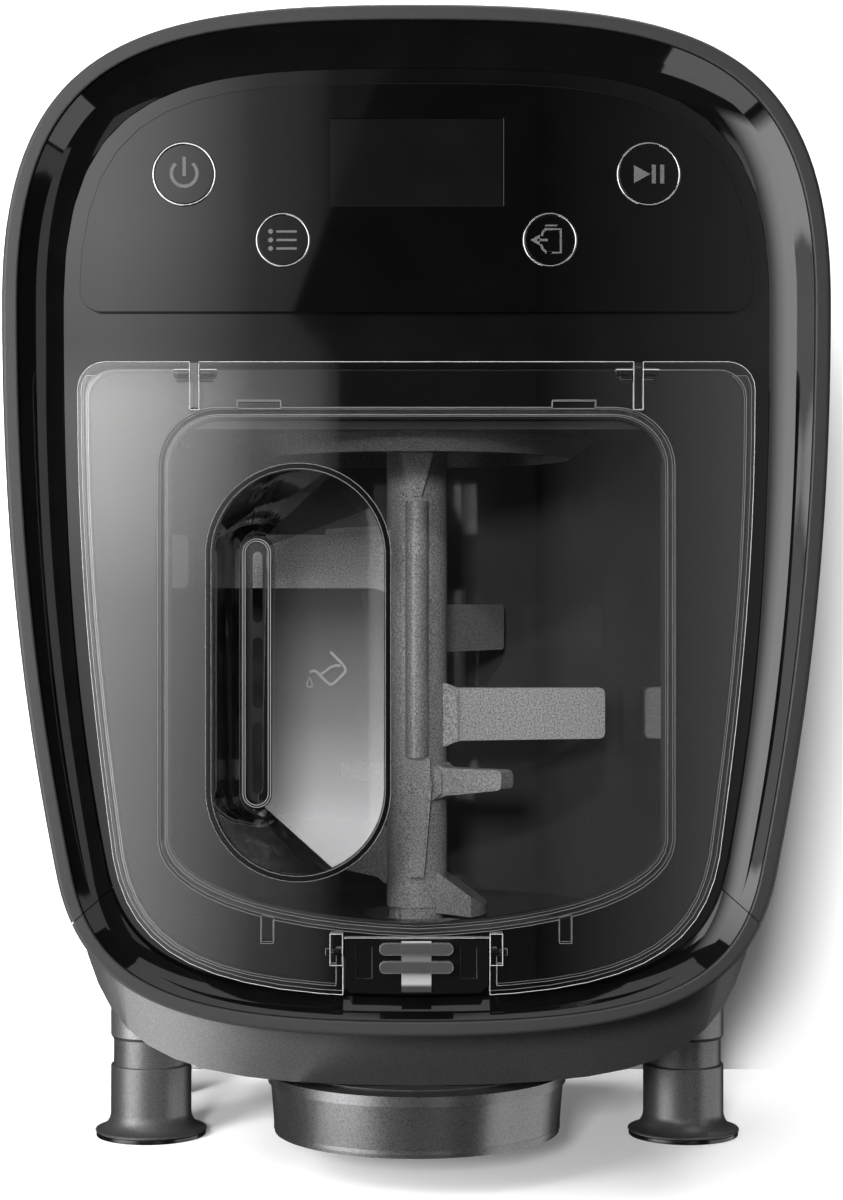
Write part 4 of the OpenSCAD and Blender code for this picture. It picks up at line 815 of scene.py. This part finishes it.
class PASTAMAKER_OT_controls(bpy.types.Operator):
    """Makes the glossy control panel with its display, buttons, bright rings and pictograms"""
    bl_idname = "pasta_maker.controls"
    bl_label = "Controls"

    def execute(self, context):
        ink = context.scene.pasta_maker_sizes.ink_width
        softened("control_panel", "painted_acrylic_black", 0.2, 40)
        plain("display_window", "display_acrylic")
        for node in ("power_button", "menu_button", "play_button", "extrude_button"):
            softened(node, "painted_acrylic_black", 0.15)
        softened("button_rings", "bright_chrome", 0.25, 30)
        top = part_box("power_button")[0][1] / MM - FRONT
        icons = {}
        bm = bmesh.new()
        ribbon(bm, circle(-64.2, 291.3, 3.55, 130, 410), ink * 1.5, top)
        ribbon(bm, [(-64.2, 295.9), (-64.2, 290.6)], ink * 1.5, top)
        icons["power_button"] = bm
        bm = bmesh.new()
        for i in (-1, 0, 1):
            ribbon(bm, [(-38.7, 272.9 + i * 2.35), (-33.1, 272.9 + i * 2.35)], ink, top)
            filled(bm, circle(-40.3, 272.9 + i * 2.35, 0.68, 0, 350, 16), top)
        icons["menu_button"] = bm
        bm = bmesh.new()
        filled(bm, [(60.1, 293.6), (64.6, 291.1), (60.1, 288.6)], top)
        for x in (65.6, 67.9):
            ribbon(bm, [(x, 293.7), (x, 288.5)], ink * 1.8, top)
        icons["play_button"] = bm
        bm = bmesh.new()
        ribbon(bm, [(36.0, 269.4), (39.9, 269.4), (39.9, 275.9), (35.7, 275.9), (35.0, 275.2), (34.6, 274.0)],
               ink * 1.05, top)
        ribbon(bm, [(34.4, 271.7), (34.9, 270.4), (36.0, 269.4), (37.6, 269.4)], ink * 1.05, top)
        ribbon(bm, [(35.6, 276.9), (38.9, 276.9)], ink * 0.7, top)
        ribbon(bm, [(36.3, 272.9), (33.4, 272.9)], ink * 1.05, top)
        filled(bm, [(31.5, 272.9), (34.1, 274.4), (34.1, 271.4)], top)
        icons["extrude_button"] = bm
        for node, bm in icons.items():
            piece(node + "_pictogram", bm, "printed_grey_ink", node)
        for node in ("display_module", "control_board"):
            plain(node, "green_circuit_board")
        plain("button_switches", "opal_abs")
        return {"FINISHED"}


# ---------------------------------------------------------------- the lid


class PASTAMAKER_OT_lid(bpy.types.Operator):
    """Makes the clear lid, its painted edge glints, its hinges, its seal and its latch"""
    bl_idname = "pasta_maker.lid"
    bl_label = "Lid"

    def execute(self, context):
        sheet = softened("lid", "clear_polycarbonate", 0.35, 35)
        sheet.data.materials.append(FINISHES["clear_polycarbonate_wall"])
        # the walls get the second finish, and so do the hinge's knuckles behind the sheet
        for face in sheet.data.polygons:
            _, y, z = face.center
            face.material_index = int(abs(face.normal.y) < 0.5 or y > (FRONT + 5.6) * MM and z > 0.2315)
        # thin windows over the slots of the hinge
        for name, x in (("hinge_window_left", -61), ("hinge_window_right", 61)):
            bm = bmesh.new()
            filled(bm, [(x - 1.28, 226.2), (x + 1.28, 226.2), (x + 1.28, 238.6), (x - 1.28, 238.6)], 3.2, 0.6)
            piece(name, bm, "clear_polycarbonate", "lid")
        # painted glints: pale lines along the lid's edges, but not round its knuckles
        sheet_back = 3.2
        edges = [run for run in feature_lines("lid", 40)
                 if not (run_depth(run) > sheet_back and all(p[2] > 230 for p in run[0]))]
        wire("lid_front_edge_glints", [run for run in edges if run_depth(run) < sheet_back], 0.11,
             "painted_edge_glint", "lid")
        wire("lid_back_edge_glints", [run for run in edges if run_depth(run) >= sheet_back], 0.10,
             "painted_edge_glint", "lid")
        plain("hinge_pins", "blackened_steel")
        softened("lid_seal", "moulded_silicone", 0.0)
        softened("latch_lever", "dark_smoked_polycarbonate", 0.25)
        softened("latch_grips", "frosted_clear_grip", 0.3, 40)
        # painted glints: pale lines along the grips' edges
        wire("latch_grip_edge_glints", feature_lines("latch_grips", 50), 0.1, "faint_painted_edge_glint", "latch")
        # the strip's steel carries a painted sheen by height
        plain("latch_strip", "bent_spring_steel_painted_sheen")
        plain("latch_pins", "blackened_steel")
        plain("lid_switch", "grained_abs_rim")
        return {"FINISHED"}


class PASTAMAKER_OT_recess(bpy.types.Operator):
    """Makes the smoked pour recess, its trim with painted glints, and its pictogram"""
    bl_idname = "pasta_maker.recess"
    bl_label = "Pour recess"

    def execute(self, context):
        # the slanted floor is misted in front and clear behind, and the rest is smoked; the front's misting
        # thins upwards, partly as painted shade
        tray = softened("pour_tray", "smoked_polycarbonate", 0.0, 30)
        for finish in ("misted_polycarbonate_painted_shade", "clear_polycarbonate_wall"):
            tray.data.materials.append(FINISHES[finish])
        for face in tray.data.polygons:
            if face.normal.x < -0.3 and -0.35 < face.normal.z < 0.8 and face.normal.y < -0.4:
                face.material_index = int(face.center.x < -12.5 * MM)
            elif face.normal.x > 0.3 and face.normal.y > 0.4:
                face.material_index = 2
        softened("tray_trim", "polished_abs_black", 0.3, 40)
        # painted glints: pale lines round the trim and round the slots' lip
        for name, depth, centre, sizes, radius, finish in (
                ("recess_rim_glints", 1.75, (-32.4, 153.5), ((25.45, 57.45), (23.95, 55.95)), 0.12,
                 "faint_painted_edge_glint"),
                ("recess_lip_glints", 30.9, (-45.7, 152.5), ((3.95, 38.35), (3.3, 37.7)), 0.14,
                 "painted_edge_glint")):
            loops = [([(x, depth, z) for x, z in stadium(*centre, *size)], True) for size in sizes]
            wire(name, loops, radius, finish, "lid")
        bm = bmesh.new()
        # a jug that pours, and a drop, in relief on the slanted floor
        proud = 0.2
        ribbon(bm, [(-24.2, 158.9), (-20.9, 155.7), (-20.0, 154.6), (-19.8, 153.6), (-20.5, 152.6),
                    (-23.2, 150.0), (-24.0, 149.7), (-24.8, 150.0), (-27.3, 152.3), (-28.0, 153.1),
                    (-28.9, 153.5), (-30.2, 153.0)], 0.75, recess_floor, thick=proud)
        ribbon(bm, [(-27.2, 152.5), (-26.2, 152.9), (-24.2, 154.5), (-22.6, 155.1), (-21.2, 155.0)],
               0.7, recess_floor, thick=proud)
        drop = circle(-30.2, 149.6, 0.85, -230, 50, 12) + [(-30.2, 151.6)]
        ribbon(bm, drop, 0.5, recess_floor, closed=True, thick=proud)
        piece("recess_pictogram", bm, "frosted_relief", "lid")
        return {"FINISHED"}


# ---------------------------------------------------------------- inside


class PASTAMAKER_OT_chamber(bpy.types.Operator):
    """Dresses the mixing chamber, the paddle, the screw and the nozzle"""
    bl_idname = "pasta_maker.chamber"
    bl_label = "Chamber"

    def execute(self, context):
        softened("mixing_chamber", "polished_grey_polycarbonate", 0.3, 30)
        softened("chamber_hub", "blasted_cast_aluminium", 0.3)
        plain("shaft_seal", "moulded_nitrile_rubber")
        softened("paddle", "blasted_cast_aluminium", 0.5, 40)
        softened("extrusion_screw", "blasted_cast_aluminium", 0.0, 40)
        plain("extrusion_barrel", "polished_grey_polycarbonate")
        plain("shaping_disc", "machined_nylon")
        # the nut's lacquer is darkened as painted shade
        softened("nozzle_nut", "sprayed_nut_lacquer_painted_shade", 0.6, 35)
        return {"FINISHED"}


class PASTAMAKER_OT_drive(bpy.types.Operator):
    """Gives the gears, the motor and the boards their finishes"""
    bl_idname = "pasta_maker.drive"
    bl_label = "Drive"

    def execute(self, context):
        for node, finish in (
                ("drive_shaft", "ground_stainless_steel"), ("output_gear", "machined_nylon"),
                ("compound_gear", "machined_nylon"), ("gear_axle", "ground_stainless_steel"),
                ("motor_pinion", "ground_stainless_steel"), ("bearings", "ground_stainless_steel"),
                ("gearbox_plate", "blasted_cast_aluminium"), ("gearbox_cover", "grained_abs_rim"),
                ("gearbox_screws", "ground_stainless_steel"), ("motor_case", "ground_stainless_steel"),
                ("motor_rotor", "enamelled_copper"), ("cooling_fan", "grained_abs_rim"),
                ("power_board", "green_circuit_board")):
            plain(node, finish)
        return {"FINISHED"}


class PASTAMAKER_OT_legs(bpy.types.Operator):
    """Makes the turned front legs and dresses the feet"""
    bl_idname = "pasta_maker.legs"
    bl_label = "Legs"

    def execute(self, context):
        # the legs and sleeves wear the lacquer darkened as painted shade
        softened("front_legs", "sprayed_lacquer_painted_shade", 0.4, 30)
        softened("leg_sleeves", "sprayed_lacquer_painted_shade", 0.4, 30)
        softened("leg_gaskets", "moulded_nitrile_rubber", 0.1)
        softened("front_soles", "polished_nitrile_rubber", 0.3)
        softened("rear_feet", "grained_abs_rim", 0.4)
        softened("rear_soles", "moulded_nitrile_rubber", 0.3)
        return {"FINISHED"}


STEPS = (PASTAMAKER_OT_finishes, PASTAMAKER_OT_stage, PASTAMAKER_OT_housing, PASTAMAKER_OT_face,
         PASTAMAKER_OT_controls, PASTAMAKER_OT_lid, PASTAMAKER_OT_recess, PASTAMAKER_OT_chamber,
         PASTAMAKER_OT_drive, PASTAMAKER_OT_legs)


class PASTAMAKER_PT_panel(bpy.types.Panel):
    bl_label = "Pasta Maker"
    bl_idname = "PASTAMAKER_PT_panel"
    bl_space_type = "VIEW_3D"
    bl_region_type = "UI"
    bl_category = "Pasta Maker"

    def draw(self, context):
        for group in (context.scene.pasta_maker_sizes, context.scene.pasta_maker_colours):
            for name in group.__annotations__:
                self.layout.prop(group, name)
        for step in STEPS:
            self.layout.operator(step.bl_idname)


CLASSES = (PastaMakerSizes, PastaMakerColours) + STEPS + (PASTAMAKER_PT_panel,)


def register():
    for cls in CLASSES:
        bpy.utils.register_class(cls)
    bpy.types.Scene.pasta_maker_sizes = bpy.props.PointerProperty(type=PastaMakerSizes)
    bpy.types.Scene.pasta_maker_colours = bpy.props.PointerProperty(type=PastaMakerColours)


def unregister():
    del bpy.types.Scene.pasta_maker_colours
    del bpy.types.Scene.pasta_maker_sizes
    for cls in reversed(CLASSES):
        bpy.utils.unregister_class(cls)


def main():
    register()
    for step in STEPS:
        group, name = step.bl_idname.split(".")
        getattr(getattr(bpy.ops, group), name)()


if __name__ == "__main__":
    main()
